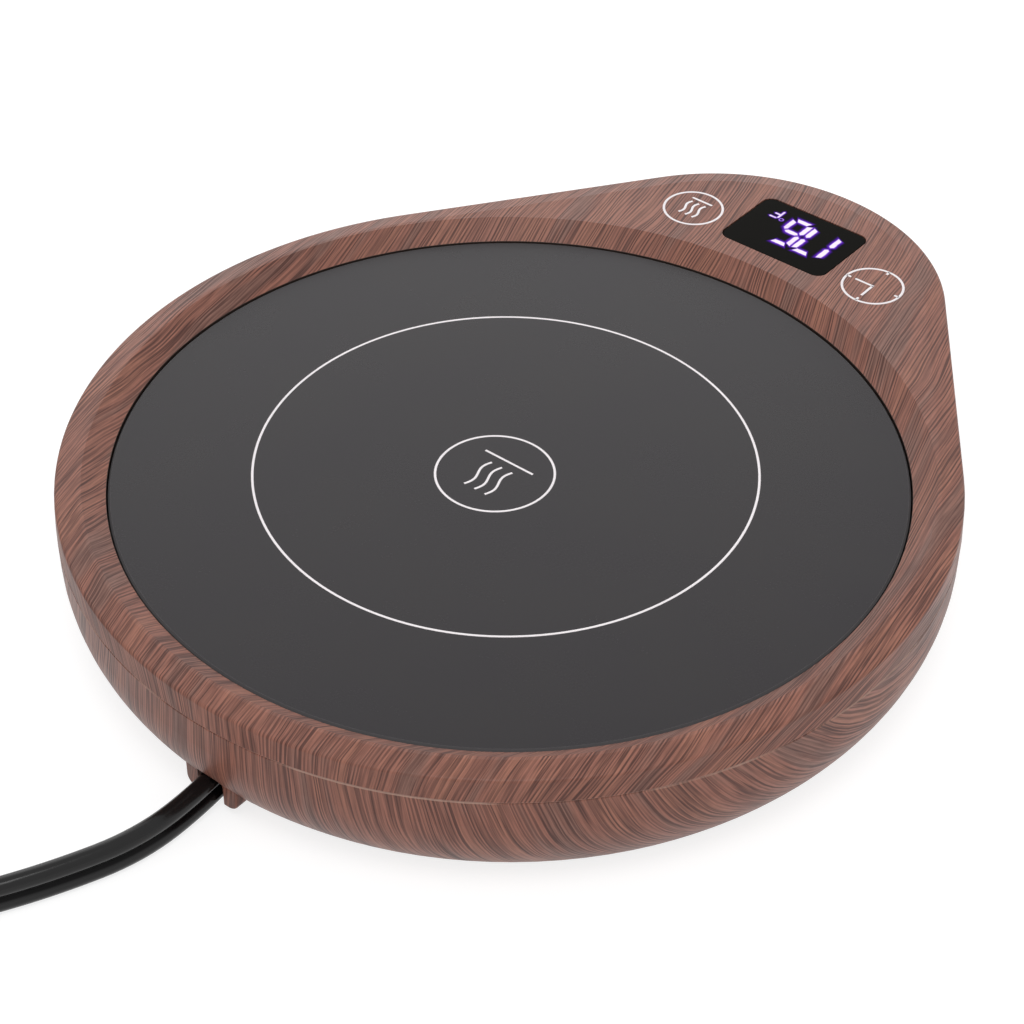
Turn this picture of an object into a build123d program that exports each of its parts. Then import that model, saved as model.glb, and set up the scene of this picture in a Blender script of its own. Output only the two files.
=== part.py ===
from build123d import *
import os
from math import asin, atan2, cos, degrees, pi, radians, sin, sqrt, tan

# Electric mug warmer, millimetres. +Z is up and the feet stand on z = 0. The user sits at -Y, at the
# narrow control end; the round end with the warming plate lies towards +Y, where the cord leaves.
# The origin is the middle of the body's footprint.

# ---- warming plate and the rim round it, from the plate's axis outwards ----
PLATE_RADIUS = 57.45
PLATE_GAP = 0.25            # dark line round the plate
PLATE_THICKNESS = 3.0
PLATE_EDGE = 0.3
PLATE_RECESS = 2.5          # plate below the deck
RIM_SLOPE_WIDTH = 3.3       # from the plate's level up to the deck
RIM_FLAT = 0.55
CROWN_WIDTH = 3.25
CROWN_HEIGHT = 0.5          # the crown falls this much from the deck to its edge

# ---- control end ----
NOSE_RADIUS = 34.0
NOSE_REACH = 53.6           # from the plate's axis to the centre of the nose arc

# ---- heights ----
FOOT_STAND = 1.2            # feet below the base
CASE_HEIGHT = 16.2          # base to parting line
COVER_WALL_HEIGHT = 3.8     # parting line to the edge of the crown

# ---- mouldings ----
WALL = 2.2
FLOOR = 2.0
DECK = 2.2
COVER_DRAFT = 3.0           # degrees
CASE_DRAFT = 0.5            # degrees
CASE_CURVE = 17.0           # radius of the curve that brings the lower wall in to the base
CASE_CURVE_Z = 13.2         # height of that curve's centre
BASE_ROUND = 0.8
EDGE_ROUND = 0.5
PARTING_CHAMFER = 0.15
LIP_WIDTH = 1.0
LIP_DEPTH = 1.1
LIP_CLEARANCE = 0.1
RIB = 1.2
RIB_HEIGHT = 1.2
RIB_RING_RADIUS = 29.0
RIB_COUNT = 6
RIB_END_GAP = 14.0          # spokes stop this far inside the body's outline
TINY_CHAMFER = 0.4

# ---- well under the plate ----
SEAL_WIDTH = 3.3
SEAL_THICKNESS = 0.5
LEDGE_THICKNESS = 2.0
WELL_WALL = 1.8

# ---- heater stack: each disc's inset from the plate's edge, from the plate down ----
SPREADER_INSET = 19.45
SPREADER_THICKNESS = 1.2
FILM_INSET = 3.0            # inside the spreader
FILM_THICKNESS = 0.6
FILM_TAB_LENGTH = 4.0       # beyond the clamp disc
FILM_TAB_WIDTH = 12.0
FILM_TAB_X = 8.0
PAD_INSET = 0.5             # inside the spreader
PAD_THICKNESS = 2.0
CLAMP_OVERHANG = 0.5        # beyond the spreader
CLAMP_THICKNESS = 1.0
CLAMP_ARM_WIDTH = 9.0
CLAMP_ARM_ANGLES = (30, 150, 270)
CLAMP_BOSS_RADIUS = 3.0
SENSOR_RADIUS = 2.5
SENSOR_HEIGHT = 2.2
SENSOR_GAP = 0.7
FUSE_RADIUS = 2.0
FUSE_LENGTH = 9.0
FUSE_X = 20.0
FUSE_CLEARANCE = 0.4
FUSE_LEAD_ROOM = 3.0        # slot beyond each end of the fuse

# ---- screws: shank radius, head radius, head height ----
CASE_SCREW = (1.4, 2.7, 2.0)
SMALL_SCREW = (1.0, 2.1, 1.4)
HEATER_SCREW = (1.25, 2.5, 1.5)
SCREW_CLEARANCE = 0.08      # round a shank in its own thread, and past its tip
PASS_CLEARANCE = 0.25       # round a shank in a plain hole
HEAD_CHAMFER = 0.4

# ---- case screws and their bosses ----
CASE_SCREW_INSET = 9.4      # inside the body's outline
CASE_SCREW_ANGLES = (55, 125, 232, 308)
CASE_BOSS_RADIUS = 3.5
CASE_BOSS_HEIGHT = 6.8      # above the base, where the lower and upper bosses meet
CASE_SCREW_SEAT = 3.4       # head seats this far above the base, down a counterbore
CASE_SCREW_BITE = 4.8       # length in the upper boss

# ---- feet: on a circle about the plate's axis, and on one about the nose's ----
FOOT_RADIUS = 4.5
FOOT_POCKET = 0.5
FOOT_CLEARANCE = 0.2
FOOT_INSET = 14.0
FOOT_ANGLES = (45, 135)
NOSE_FOOT_INSET = 15.3
NOSE_FOOT_ANGLES = (-138, -42)

# ---- display window in the deck ----
WINDOW_WIDTH = 19.8
WINDOW_DEPTH = 14.4
WINDOW_CORNER = 1.9
WINDOW_SHIFT = 0.68         # towards the plate from midway between rim and tip
LENS_THICKNESS = 1.0
LENS_GAP = 0.1
LENS_SINK = 0.05
WINDOW_LEDGE = 1.7
LENS_CHAMFER = 0.1

# ---- display, its board and touch pads ----
DISPLAY_OVERLAP = 1.3       # display wider than the window, each side
DISPLAY_SHORTFALL = 0.9     # display shallower than the window, each end
DISPLAY_HEIGHT = 4.0
GASKET_FRAME = 1.9
GASKET_THICKNESS = 0.5
DISPLAY_BOARD_THICKNESS = 1.2
DISPLAY_BOARD_INSET = 3.6   # board edge inside the case outline
BOARD_WELL_GAP = 0.8
DISPLAY_BOARD_HALF_WIDTH = 30.0
DISPLAY_POST_RADIUS = 2.5
DISPLAY_POST_GAP = 0.9      # between a post and the side wall
DISPLAY_POST_SIDE = 0.5      # between a front post and the display
DISPLAY_POST_ANGLES = (-160, -20)
DISPLAY_SCREW_SHORT = 1.0   # screw tip below the deck's underside
TOUCH_FROM_WINDOW = 7.4
TOUCH_FORWARD = 3.65
TOUCH_RADIUS = 4.0
CHIP_SIZE = (10.0, 4.0, 1.6)

# ---- power board, its places from the centre of the nose arc ----
POWER_BOARD_THICKNESS = 1.6
POWER_BOARD_STAND = 2.0     # above the floor
POWER_BOARD_INSET = 5.4
POWER_BOARD_BACK = 17.6
POWER_BOARD_HALF_WIDTH = 27.0
POWER_POST_RADIUS = 2.5
POWER_POST_X = 22.0
POWER_POST_EDGE = 4.0       # back posts from the board's back edge
POWER_POST_INSET = 7.6      # front posts inside the nose's outline
POWER_POST_ANGLES = (-122, -58)
POST_BITE = 2.8             # screw length below the board
FILM_CAPACITOR_SIZE = (13.0, 11.0, 4.4)
FILM_CAPACITOR_PLACE = (-9.0, -10.4)
SMOOTHING_RADIUS = 3.15
SMOOTHING_LENGTH = 11.0
SMOOTHING_PLACE = (11.0, -13.4)
SMOOTHING_LIFT = 0.05
TRIAC_BODY = (10.0, 9.0, 4.5)
TRIAC_TAB = (10.0, 6.5, 1.3)
TRIAC_PLACE = (17.0, 3.6)
TRIAC_HOLE_RADIUS = 1.8
VARISTOR_RADIUS = 4.5
VARISTOR_HEIGHT = 4.0
VARISTOR_PLACE = (-8.0, 3.6)
VARISTOR_CHAMFER = 0.9
MAINS_FUSE_SIZE = (8.3, 7.7, 4.0)
MAINS_FUSE_PLACE = (-20.0, 6.6)
CHIP_PLACE = (-19.0, -14.4)
RIBBON_WIDTH = 8.0
RIBBON_THICKNESS = 0.8
RIBBON_TOP = -24.6
RIBBON_FOOT = -22.9
RIBBON_BEND = 1.0

# ---- cord: two conductors side by side, standing on its edge ----
CORD_WIDTH = 5.4
CORD_THICKNESS = 2.7
CORD_FLOOR_GAP = 0.05
CORD_INSIDE_HEIGHT = 4.9    # centre line above the base
CORD_END_INSET = 27.0       # jacket ends this far inside the body's outline
CORD_DIP_INSET = 15.0       # cord starts down towards the exit
CORD_LAND_INSET = 0.5       # cord is down on the table
CORD_SLOT_GAP = 0.3         # above and below the cord
CORD_SLOT_SIDE = 0.95       # beside the cord
CORD_SLOT_ROUND = 1.0
CORD_BOSS_WIDTH = 9.4
CORD_BOSS_INSET = 2.2       # outer face inside the body's outline
CORD_BOSS_LENGTH = 6.8
CORD_BOSS_HEIGHT = 8.3
CORD_BOSS_ROUND = 1.7
CORD_POST_INSET = 21.0
CORD_POST_RADIUS = 3.0
CORD_POST_GAP = 2.65        # between a post and the cord
CORD_CLAMP_WIDTH = 7.0
CORD_CLAMP_THICKNESS = 2.5
CORD_CLAMP_GAP = 0.1
LEAD_RADIUS = 0.95
LEAD_BEND = 1.5
LEAD_GAP = 0.9
THIN_LEAD_RADIUS = 0.5
THIN_LEAD_BEND = 0.75
MAINS_LEAD_X = (-12.0, -16.0)
FUSE_LEAD_X = (16.0, 13.0)
SENSOR_LEAD_X = 1.0
LEAD_FOOT_EDGE = 2.6        # lead ends from the power board's back edge

# ---- coil of the stored length, and the plug ----
COIL_CENTRE = (84.0, 96.0)  # from the plate's axis
COIL_OUTER_TURN = 34.0      # centre line of the outermost turn
COIL_INNER_TURN = 26.5
COIL_LAYERS = 2
COIL_LIFT = 0.8             # on its tie
COIL_ROUND = 1.5
COIL_ENTRY_STUB = 18.0
COIL_EXIT_STUB = 15.0
TIE_WIDTH = 8.0
TIE_THICKNESS = 0.7
TIE_ANGLE = 225
TIE_GAP = 0.1
PLUG_WIDTH = 20.0
PLUG_HEIGHT = 13.0
PLUG_LENGTH = 22.0
PLUG_ROUND = 3.0
PLUG_TAIL_LENGTH = 12.0
PLUG_TAIL_SIZE = (8.5, 7.5)
PLUG_LEAD_DROP = 11.0       # length over which the lead comes down from the coil
PLUG_LEAD_RUN = 7.0
BLADE_WIDTH = 6.35
BLADE_THICKNESS = 1.5
BLADE_LENGTH = 16.5
BLADE_SPACING = 12.7
BLADE_ROOT = 4.0            # held in the moulding
BLADE_HOLE_RADIUS = 1.6
BLADE_HOLE_FROM_TIP = 4.5
BLADE_CHAMFER = 1.2

# ---- levels worked out from the sizes above ----
BASE_Z = FOOT_STAND
FLOOR_Z = BASE_Z + FLOOR
PARTING_Z = BASE_Z + CASE_HEIGHT
CROWN_EDGE_Z = PARTING_Z + COVER_WALL_HEIGHT
DECK_Z = CROWN_EDGE_Z + CROWN_HEIGHT
DECK_UNDER_Z = DECK_Z - DECK
PLATE_TOP_Z = DECK_Z - PLATE_RECESS
PLATE_UNDER_Z = PLATE_TOP_Z - PLATE_THICKNESS
LEDGE_Z = PLATE_UNDER_Z - SEAL_THICKNESS
LEDGE_UNDER_Z = LEDGE_Z - LEDGE_THICKNESS
SPREADER_UNDER_Z = PLATE_UNDER_Z - SPREADER_THICKNESS
FILM_UNDER_Z = SPREADER_UNDER_Z - FILM_THICKNESS
PAD_UNDER_Z = FILM_UNDER_Z - PAD_THICKNESS
CLAMP_UNDER_Z = PAD_UNDER_Z - CLAMP_THICKNESS
CASE_BOSS_TOP = BASE_Z + CASE_BOSS_HEIGHT
CASE_SEAT_Z = BASE_Z + CASE_SCREW_SEAT
HEATER_SCREW_TIP = LEDGE_UNDER_Z + LEDGE_THICKNESS * 0.7
DISPLAY_SCREW_TIP = DECK_UNDER_Z - DISPLAY_SCREW_SHORT
DISPLAY_TOP_Z = DECK_UNDER_Z - GASKET_THICKNESS
DISPLAY_BOARD_TOP_Z = DISPLAY_TOP_Z - DISPLAY_HEIGHT
DISPLAY_BOARD_UNDER_Z = DISPLAY_BOARD_TOP_Z - DISPLAY_BOARD_THICKNESS
POWER_BOARD_UNDER_Z = FLOOR_Z + POWER_BOARD_STAND
POWER_BOARD_TOP_Z = POWER_BOARD_UNDER_Z + POWER_BOARD_THICKNESS
CORD_INSIDE_Z = BASE_Z + CORD_INSIDE_HEIGHT
CORD_TABLE_Z = CORD_WIDTH / 2 + CORD_FLOOR_GAP
CORD_POST_TOP = CORD_INSIDE_Z + CORD_WIDTH / 2 + CORD_CLAMP_GAP
COIL_LAYER_Z = COIL_LIFT + CORD_WIDTH / 2
COIL_EXIT_Z = COIL_LAYER_Z + CORD_WIDTH
LEAD_HIGH_Z = CLAMP_UNDER_Z - LEAD_GAP - 2 * LEAD_RADIUS
LEAD_LOW_Z = FLOOR_Z + RIB_HEIGHT + 2 * LEAD_RADIUS

# ---- outline and circles about the plate's axis ----
COVER_LEAN = COVER_WALL_HEIGHT * tan(radians(COVER_DRAFT))
BORE_RADIUS = PLATE_RADIUS + PLATE_GAP
RIM_RADIUS = BORE_RADIUS + RIM_SLOPE_WIDTH
BODY_RADIUS = RIM_RADIUS + RIM_FLAT + CROWN_WIDTH + COVER_LEAN
THROAT_RADIUS = PLATE_RADIUS - SEAL_WIDTH
WELL_RADIUS = BORE_RADIUS + WELL_WALL
SPREADER_RADIUS = PLATE_RADIUS - SPREADER_INSET
FILM_RADIUS = SPREADER_RADIUS - FILM_INSET
PAD_RADIUS = SPREADER_RADIUS - PAD_INSET
CLAMP_RADIUS = SPREADER_RADIUS + CLAMP_OVERHANG
CLAMP_SCREW_CIRCLE = THROAT_RADIUS + 0.41 * SEAL_WIDTH
CASE_SCREW_CIRCLE = BODY_RADIUS - CASE_SCREW_INSET
SENSOR_HOLE_RADIUS = SENSOR_RADIUS + SENSOR_GAP
FILM_TAB_REACH = CLAMP_RADIUS + FILM_TAB_LENGTH
FLANK_ANGLE = asin((BODY_RADIUS - NOSE_RADIUS) / NOSE_REACH)

# ---- places along the body, from the plate's axis unless it says otherwise ----
PLATE_Y = (NOSE_REACH + NOSE_RADIUS - BODY_RADIUS) / 2      # from the origin
NOSE_Y = -NOSE_REACH
TIP_FLAT_Y = NOSE_Y - NOSE_RADIUS + COVER_LEAN + CROWN_WIDTH
WINDOW_Y = (TIP_FLAT_Y - RIM_RADIUS) / 2 + WINDOW_SHIFT
DISPLAY_SIZE = (WINDOW_WIDTH + 2 * DISPLAY_OVERLAP, WINDOW_DEPTH - 2 * DISPLAY_SHORTFALL, DISPLAY_HEIGHT)
TOUCH_X = WINDOW_WIDTH / 2 + TOUCH_FROM_WINDOW
TOUCH_Y = WINDOW_Y + TOUCH_FORWARD
POWER_BACK_Y = NOSE_Y + POWER_BOARD_BACK
LEAD_FOOT_Y = POWER_BACK_Y - LEAD_FOOT_EDGE
CORD_END_Y = BODY_RADIUS - CORD_END_INSET
CORD_DIP_Y = BODY_RADIUS - CORD_DIP_INSET
CORD_LAND_Y = BODY_RADIUS - CORD_LAND_INSET
CORD_BOSS_FACE = BODY_RADIUS - CORD_BOSS_INSET
CORD_POST_X = CORD_THICKNESS / 2 + CORD_POST_GAP + CORD_POST_RADIUS
CORD_POST_Y = BODY_RADIUS - CORD_POST_INSET
PLUG_X = COIL_CENTRE[0] + COIL_OUTER_TURN
COIL_EXIT_Y = COIL_CENTRE[1] - COIL_EXIT_STUB
PLUG_TAIL_Y = COIL_EXIT_Y - 2 * PLUG_LEAD_RUN - PLUG_LEAD_DROP

# ---- the cord's route, from the plate's axis, on its centre line ----
CORD_ROUTE = [
    (0, CORD_END_Y, CORD_INSIDE_Z),
    (0, CORD_DIP_Y, CORD_INSIDE_Z),
    (0, CORD_LAND_Y, CORD_TABLE_Z),
    (0.2, 76.0, CORD_TABLE_Z),
    (4.6, 87.0, CORD_TABLE_Z),
    (9.7, 96.5, CORD_TABLE_Z),
    (17.5, 108.5, CORD_TABLE_Z),
    (29.0, 119.0, CORD_TABLE_Z),
    (43.0, 126.5, COIL_LAYER_Z),
    (56.0, COIL_CENTRE[1] + COIL_OUTER_TURN, COIL_LAYER_Z),
    (COIL_CENTRE[0] - COIL_ENTRY_STUB, COIL_CENTRE[1] + COIL_OUTER_TURN, COIL_LAYER_Z),
]
PLUG_LEAD_ROUTE = [
    (PLUG_X, COIL_EXIT_Y, COIL_EXIT_Z),
    (PLUG_X, COIL_EXIT_Y - PLUG_LEAD_RUN, COIL_EXIT_Z),
    (PLUG_X, PLUG_TAIL_Y + PLUG_LEAD_RUN, PLUG_HEIGHT / 2),
    (PLUG_X, PLUG_TAIL_Y, PLUG_HEIGHT / 2),
]


# ---------------------------------------------------------------- shared forms
def at(x, y, z=0.0):
    """Place given from the plate's axis."""
    return Pos(x, PLATE_Y + y, z)


def polar(radius, angle):
    return radius * cos(radians(angle)), radius * sin(radians(angle))


def by_nose(x, y):
    """Place given from the centre of the nose arc, as one from the plate's axis."""
    return x, NOSE_Y + y


def display_posts():
    """Two posts beside the display's front corners and two further back, all near the side wall."""
    circle = NOSE_RADIUS - WALL - DISPLAY_POST_GAP - DISPLAY_POST_RADIUS
    front_x = DISPLAY_SIZE[0] / 2 + DISPLAY_POST_SIDE + DISPLAY_POST_RADIUS
    front_y = -sqrt(circle ** 2 - front_x ** 2)
    back = [by_nose(*polar(circle, angle)) for angle in DISPLAY_POST_ANGLES]
    return back + [by_nose(side * front_x, front_y) for side in (-1, 1)]


def power_posts():
    back = POWER_BACK_Y - POWER_POST_EDGE
    front = [by_nose(*polar(NOSE_RADIUS - POWER_POST_INSET, angle)) for angle in POWER_POST_ANGLES]
    return [(-POWER_POST_X, back), (POWER_POST_X, back)] + front


def foot_places():
    round_end = [polar(BODY_RADIUS - FOOT_INSET, angle) for angle in FOOT_ANGLES]
    nose = [by_nose(*polar(NOSE_RADIUS - NOSE_FOOT_INSET, angle)) for angle in NOSE_FOOT_ANGLES]
    return round_end + nose


def outline(inset, z):
    """Tear-drop face: two arcs joined by tangents, moved inwards by inset."""
    big = BODY_RADIUS - inset
    small = NOSE_RADIUS - inset

    def big_point(angle):
        return big * cos(angle), PLATE_Y + big * sin(angle)

    def small_point(angle):
        return small * cos(angle), PLATE_Y - NOSE_REACH + small * sin(angle)

    right, left = -FLANK_ANGLE, pi + FLANK_ANGLE
    edges = [
        ThreePointArc(big_point(right), big_point(pi / 2), big_point(left)),
        Line(big_point(left), small_point(left)),
        ThreePointArc(small_point(left), small_point(-pi / 2), small_point(right)),
        Line(small_point(right), big_point(right)),
    ]
    return Pos(0, 0, z) * Face(Wire([piece.edge() for piece in edges]))


def rod(radius, low, high, x=0.0, y=0.0):
    """Upright cylinder between two heights, placed from the plate's axis."""
    return at(x, y, low) * Cylinder(radius, high - low, align=(Align.CENTER, Align.CENTER, Align.MIN))


def block(size, x, y, low):
    """Box standing on a height, placed from the plate's axis."""
    return at(x, y, low) * Box(*size, align=(Align.CENTER, Align.CENTER, Align.MIN))


def slab(face, low, high):
    """Extrude a flat outline between two heights."""
    return extrude(Pos(0, 0, low) * face, amount=high - low)


def edges_at(part, z):
    return part.edges().filter_by_position(Axis.Z, z - 0.005, z + 0.005)


def moulded_block(size, x, y, low, radius):
    """Moulded block with its upright and top edges broken."""
    bar = block(size, x, y, low)
    soft = bar.edges().filter_by(Axis.Z) + bar.faces().sort_by(Axis.Z)[-1].edges()
    return chamfer(soft, radius)


def screw(sizes, x, y, seat, length, up=True):
    """Pan-head screw: seat is under its head, and its shank runs up or down from there."""
    shank_radius, head_radius, head_height = sizes
    way = 1 if up else -1
    tip = seat + way * length
    head_end = seat - way * head_height
    shank = rod(shank_radius, min(seat, tip), max(seat, tip), x, y)
    head = rod(head_radius, min(seat, head_end), max(seat, head_end), x, y)
    return shank + chamfer(edges_at(head, head_end), HEAD_CHAMFER)


def run_radii(points):
    """One bend radius for each inner point: as large as its two runs allow."""
    radii = []
    for before, here, after in zip(points, points[1:], points[2:]):
        first = Vector(*here) - Vector(*before)
        second = Vector(*after) - Vector(*here)
        half_turn = radians(first.get_angle(second)) / 2
        radii.append(0.45 * min(first.length, second.length) / tan(half_turn))
    return radii


def shifted(points):
    return [(x, y + PLATE_Y, z) for x, y, z in points]


def flat_cord(points, name):
    """Flat twin cord on its edge along a route of runs and tangent arcs."""
    radii = run_radii(points)
    path = FilletPolyline(*shifted(points), radius=radii)
    start = path @ 0
    section = Plane(origin=start, x_dir=(0, 0, 1), z_dir=path % 0) * SlotOverall(CORD_WIDTH, CORD_THICKNESS)
    cord = sweep(section, path=path)
    print(name, "radii", [round(r, 1) for r in radii], "length", round(path.length, 1),
          "volume / section*length", round(cord.volume / (section.area * path.length), 4))
    return cord, path.length


def lead(points, radius, bend):
    """Round wire with bends of one radius."""
    path = FilletPolyline(*shifted(points), radius=bend)
    section = Plane(origin=path @ 0, z_dir=path % 0) * Circle(radius)
    return sweep(section, path=path)


# ---------------------------------------------------------------- top cover
def cover_skin():
    """Upper wall, crown and deck as one solid block."""
    wall = extrude(outline(0, PARTING_Z), amount=COVER_WALL_HEIGHT, taper=COVER_DRAFT)
    crown = loft([outline(COVER_LEAN, CROWN_EDGE_Z), outline(COVER_LEAN + CROWN_WIDTH, DECK_Z)], ruled=True)
    skin = wall + crown
    skin = fillet(edges_at(skin, CROWN_EDGE_Z), EDGE_ROUND)
    return chamfer(edges_at(skin, PARTING_Z), PARTING_CHAMFER)


def cover_well():
    """Ring that carries the plate: bore wall and ledge."""
    return rod(WELL_RADIUS, LEDGE_UNDER_Z, DECK_UNDER_Z) - rod(THROAT_RADIUS, LEDGE_UNDER_Z, DECK_UNDER_Z)


def plate_hollow():
    """What the rim slope, the bore and the throat take out."""
    slope = at(0, 0, PLATE_TOP_Z) * Cone(
        BORE_RADIUS, BORE_RADIUS + RIM_SLOPE_WIDTH, PLATE_RECESS,
        align=(Align.CENTER, Align.CENTER, Align.MIN))
    bore = rod(BORE_RADIUS, LEDGE_Z, PLATE_TOP_Z)
    throat = rod(THROAT_RADIUS, LEDGE_UNDER_Z, LEDGE_Z)
    return slope + bore + throat


def cover_lip():
    """Tongue that drops inside the lower wall."""
    ring = outline(WALL - LIP_WIDTH, 0) - outline(WALL, 0)
    return slab(ring, PARTING_Z - LIP_DEPTH, PARTING_Z)


def window_sketch(inset, z):
    width = WINDOW_WIDTH - 2 * inset
    depth = WINDOW_DEPTH - 2 * inset
    return at(0, WINDOW_Y, z) * RectangleRounded(width, depth, WINDOW_CORNER - min(inset, WINDOW_CORNER / 2))


def make_top_cover():
    cover = cover_skin()
    cover -= extrude(outline(WALL, PARTING_Z), amount=DECK_UNDER_Z - PARTING_Z, taper=COVER_DRAFT)
    cover += cover_well()
    cover += cover_lip()
    for angle in CASE_SCREW_ANGLES:
        x, y = polar(CASE_SCREW_CIRCLE, angle)
        cover += rod(CASE_BOSS_RADIUS, CASE_BOSS_TOP, LEDGE_UNDER_Z, x, y)
    for angle in CLAMP_ARM_ANGLES:
        x, y = polar(CLAMP_SCREW_CIRCLE, angle)
        cover += rod(CLAMP_BOSS_RADIUS, PAD_UNDER_Z, LEDGE_UNDER_Z, x, y)
    for x, y in display_posts():
        cover += rod(DISPLAY_POST_RADIUS, DISPLAY_BOARD_TOP_Z, DECK_UNDER_Z, x, y)
    cover -= plate_hollow()
    for angle in CASE_SCREW_ANGLES:
        x, y = polar(CASE_SCREW_CIRCLE, angle)
        hole_top = CASE_BOSS_TOP + CASE_SCREW_BITE + SCREW_CLEARANCE
        cover -= rod(CASE_SCREW[0] + SCREW_CLEARANCE, CASE_BOSS_TOP, hole_top, x, y)
    for angle in CLAMP_ARM_ANGLES:
        x, y = polar(CLAMP_SCREW_CIRCLE, angle)
        cover -= rod(HEATER_SCREW[0] + SCREW_CLEARANCE, PAD_UNDER_Z, HEATER_SCREW_TIP + SCREW_CLEARANCE, x, y)
    for x, y in display_posts():
        cover -= rod(SMALL_SCREW[0] + SCREW_CLEARANCE, DISPLAY_BOARD_TOP_Z,
                     DISPLAY_SCREW_TIP + SCREW_CLEARANCE, x, y)
    pocket_z = DECK_Z - LENS_SINK - LENS_THICKNESS
    cover -= extrude(window_sketch(0, pocket_z), amount=DECK_Z - pocket_z)
    cover -= extrude(window_sketch(WINDOW_LEDGE, DECK_UNDER_Z), amount=pocket_z - DECK_UNDER_Z)
    return cover


# ---------------------------------------------------------------- bottom case
def case_block(inset, low, round_):
    """Tear-drop block from the parting line down, its wall curving in to a flat underside."""
    radius = CASE_CURVE - inset
    bottom = CASE_CURVE_Z - radius
    form = extrude(outline(inset, PARTING_Z), amount=bottom - PARTING_Z, taper=CASE_DRAFT)
    form = fillet(form.faces().sort_by(Axis.Z)[0].edges(), radius)
    form -= slab(outline(0, 0), bottom - 1, low)
    return fillet(edges_at(form, low), round_)


def cord_line():
    """Start of the slanting stretch of the cord and its slope, looking along +Y."""
    drop = CORD_INSIDE_Z - CORD_TABLE_Z
    slope = degrees(atan2(drop, CORD_LAND_Y - CORD_DIP_Y))
    return CORD_DIP_Y, CORD_INSIDE_Z, slope


def cord_slot():
    """Slanting passage for the cord through the boss and the floor."""
    y, z, slope = cord_line()
    length = 2 * (CORD_LAND_Y - CORD_DIP_Y)
    height = CORD_WIDTH + 2 * CORD_SLOT_GAP
    passage = Box(CORD_THICKNESS + 2 * CORD_SLOT_SIDE, length, height)
    passage = fillet(passage.edges().filter_by(Axis.Y), CORD_SLOT_ROUND)
    return at(0, y, z) * Rot(-slope, 0, 0) * Pos(0, length / 2 - CORD_THICKNESS, 0) * passage


def boss_block():
    size = (CORD_BOSS_WIDTH, CORD_BOSS_LENGTH, CORD_BOSS_HEIGHT)
    return block(size, 0, CORD_BOSS_FACE - CORD_BOSS_LENGTH / 2, BASE_Z)


def cord_boss():
    boss = boss_block()
    low_edges = boss.edges().filter_by(Axis.Y).group_by(Axis.Z)[0]
    boss = fillet(low_edges, CORD_BOSS_ROUND)
    front = boss.faces().sort_by(Axis.Y)[-1]
    return fillet(front.edges(), TINY_CHAMFER)


def floor_ribs():
    """Ring rib with spokes on the floor of the round end."""
    top = FLOOR_Z + RIB_HEIGHT
    ribs = rod(RIB_RING_RADIUS + RIB / 2, FLOOR_Z, top) - rod(RIB_RING_RADIUS - RIB / 2, FLOOR_Z, top)
    length = BODY_RADIUS - RIB_END_GAP - RIB_RING_RADIUS
    for index in range(RIB_COUNT):
        spoke = Pos(RIB_RING_RADIUS + length / 2, 0, FLOOR_Z + RIB_HEIGHT / 2) * Box(length, RIB, RIB_HEIGHT)
        ribs += at(0, 0) * Rot(0, 0, index * 360 / RIB_COUNT) * spoke
    return ribs


def make_bottom_case():
    case = case_block(0, BASE_Z, BASE_ROUND)
    case += cord_boss()
    cavity = case_block(WALL, FLOOR_Z, BASE_ROUND)
    case -= cavity - boss_block()
    rebate = outline(WALL - LIP_WIDTH - LIP_CLEARANCE, 0)
    case -= slab(rebate, PARTING_Z - LIP_DEPTH - LIP_CLEARANCE, PARTING_Z)
    outer_rim = outline(0, PARTING_Z).outer_wire().edges()
    rim_edges = [edge for edge in edges_at(case, PARTING_Z)
                 if any((edge @ 0.5 - rim @ 0.5).length < 0.01 for rim in outer_rim)]
    case = chamfer(rim_edges, PARTING_CHAMFER)
    case += floor_ribs()
    for angle in CASE_SCREW_ANGLES:
        x, y = polar(CASE_SCREW_CIRCLE, angle)
        case += rod(CASE_BOSS_RADIUS, FLOOR_Z, CASE_BOSS_TOP, x, y)
    for x, y in power_posts():
        case += rod(POWER_POST_RADIUS, FLOOR_Z, POWER_BOARD_UNDER_Z, x, y)
    for side in (-1, 1):
        case += rod(CORD_POST_RADIUS, FLOOR_Z, CORD_POST_TOP, side * CORD_POST_X, CORD_POST_Y)
    for angle in CASE_SCREW_ANGLES:
        x, y = polar(CASE_SCREW_CIRCLE, angle)
        case -= rod(CASE_SCREW[1] + PASS_CLEARANCE, BASE_Z, CASE_SEAT_Z, x, y)
        case -= rod(CASE_SCREW[0] + PASS_CLEARANCE, CASE_SEAT_Z, CASE_BOSS_TOP, x, y)
    for x, y in power_posts():
        tip = POWER_BOARD_UNDER_Z - POST_BITE - SCREW_CLEARANCE
        case -= rod(SMALL_SCREW[0] + SCREW_CLEARANCE, tip, POWER_BOARD_UNDER_Z, x, y)
    for side in (-1, 1):
        tip = CORD_POST_TOP - POST_BITE - SCREW_CLEARANCE
        case -= rod(SMALL_SCREW[0] + SCREW_CLEARANCE, tip, CORD_POST_TOP, side * CORD_POST_X, CORD_POST_Y)
    for x, y in foot_places():
        case -= rod(FOOT_RADIUS + FOOT_CLEARANCE, BASE_Z, BASE_Z + FOOT_POCKET, x, y)
    case -= cord_slot()
    return case


# ---------------------------------------------------------------- plate and heater
def make_glass_plate():
    plate = rod(PLATE_RADIUS, PLATE_UNDER_Z, PLATE_TOP_Z)
    return chamfer(edges_at(plate, PLATE_TOP_Z), PLATE_EDGE)


def make_plate_seal():
    return rod(PLATE_RADIUS, LEDGE_Z, PLATE_UNDER_Z) - rod(THROAT_RADIUS, LEDGE_Z, PLATE_UNDER_Z)


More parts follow.
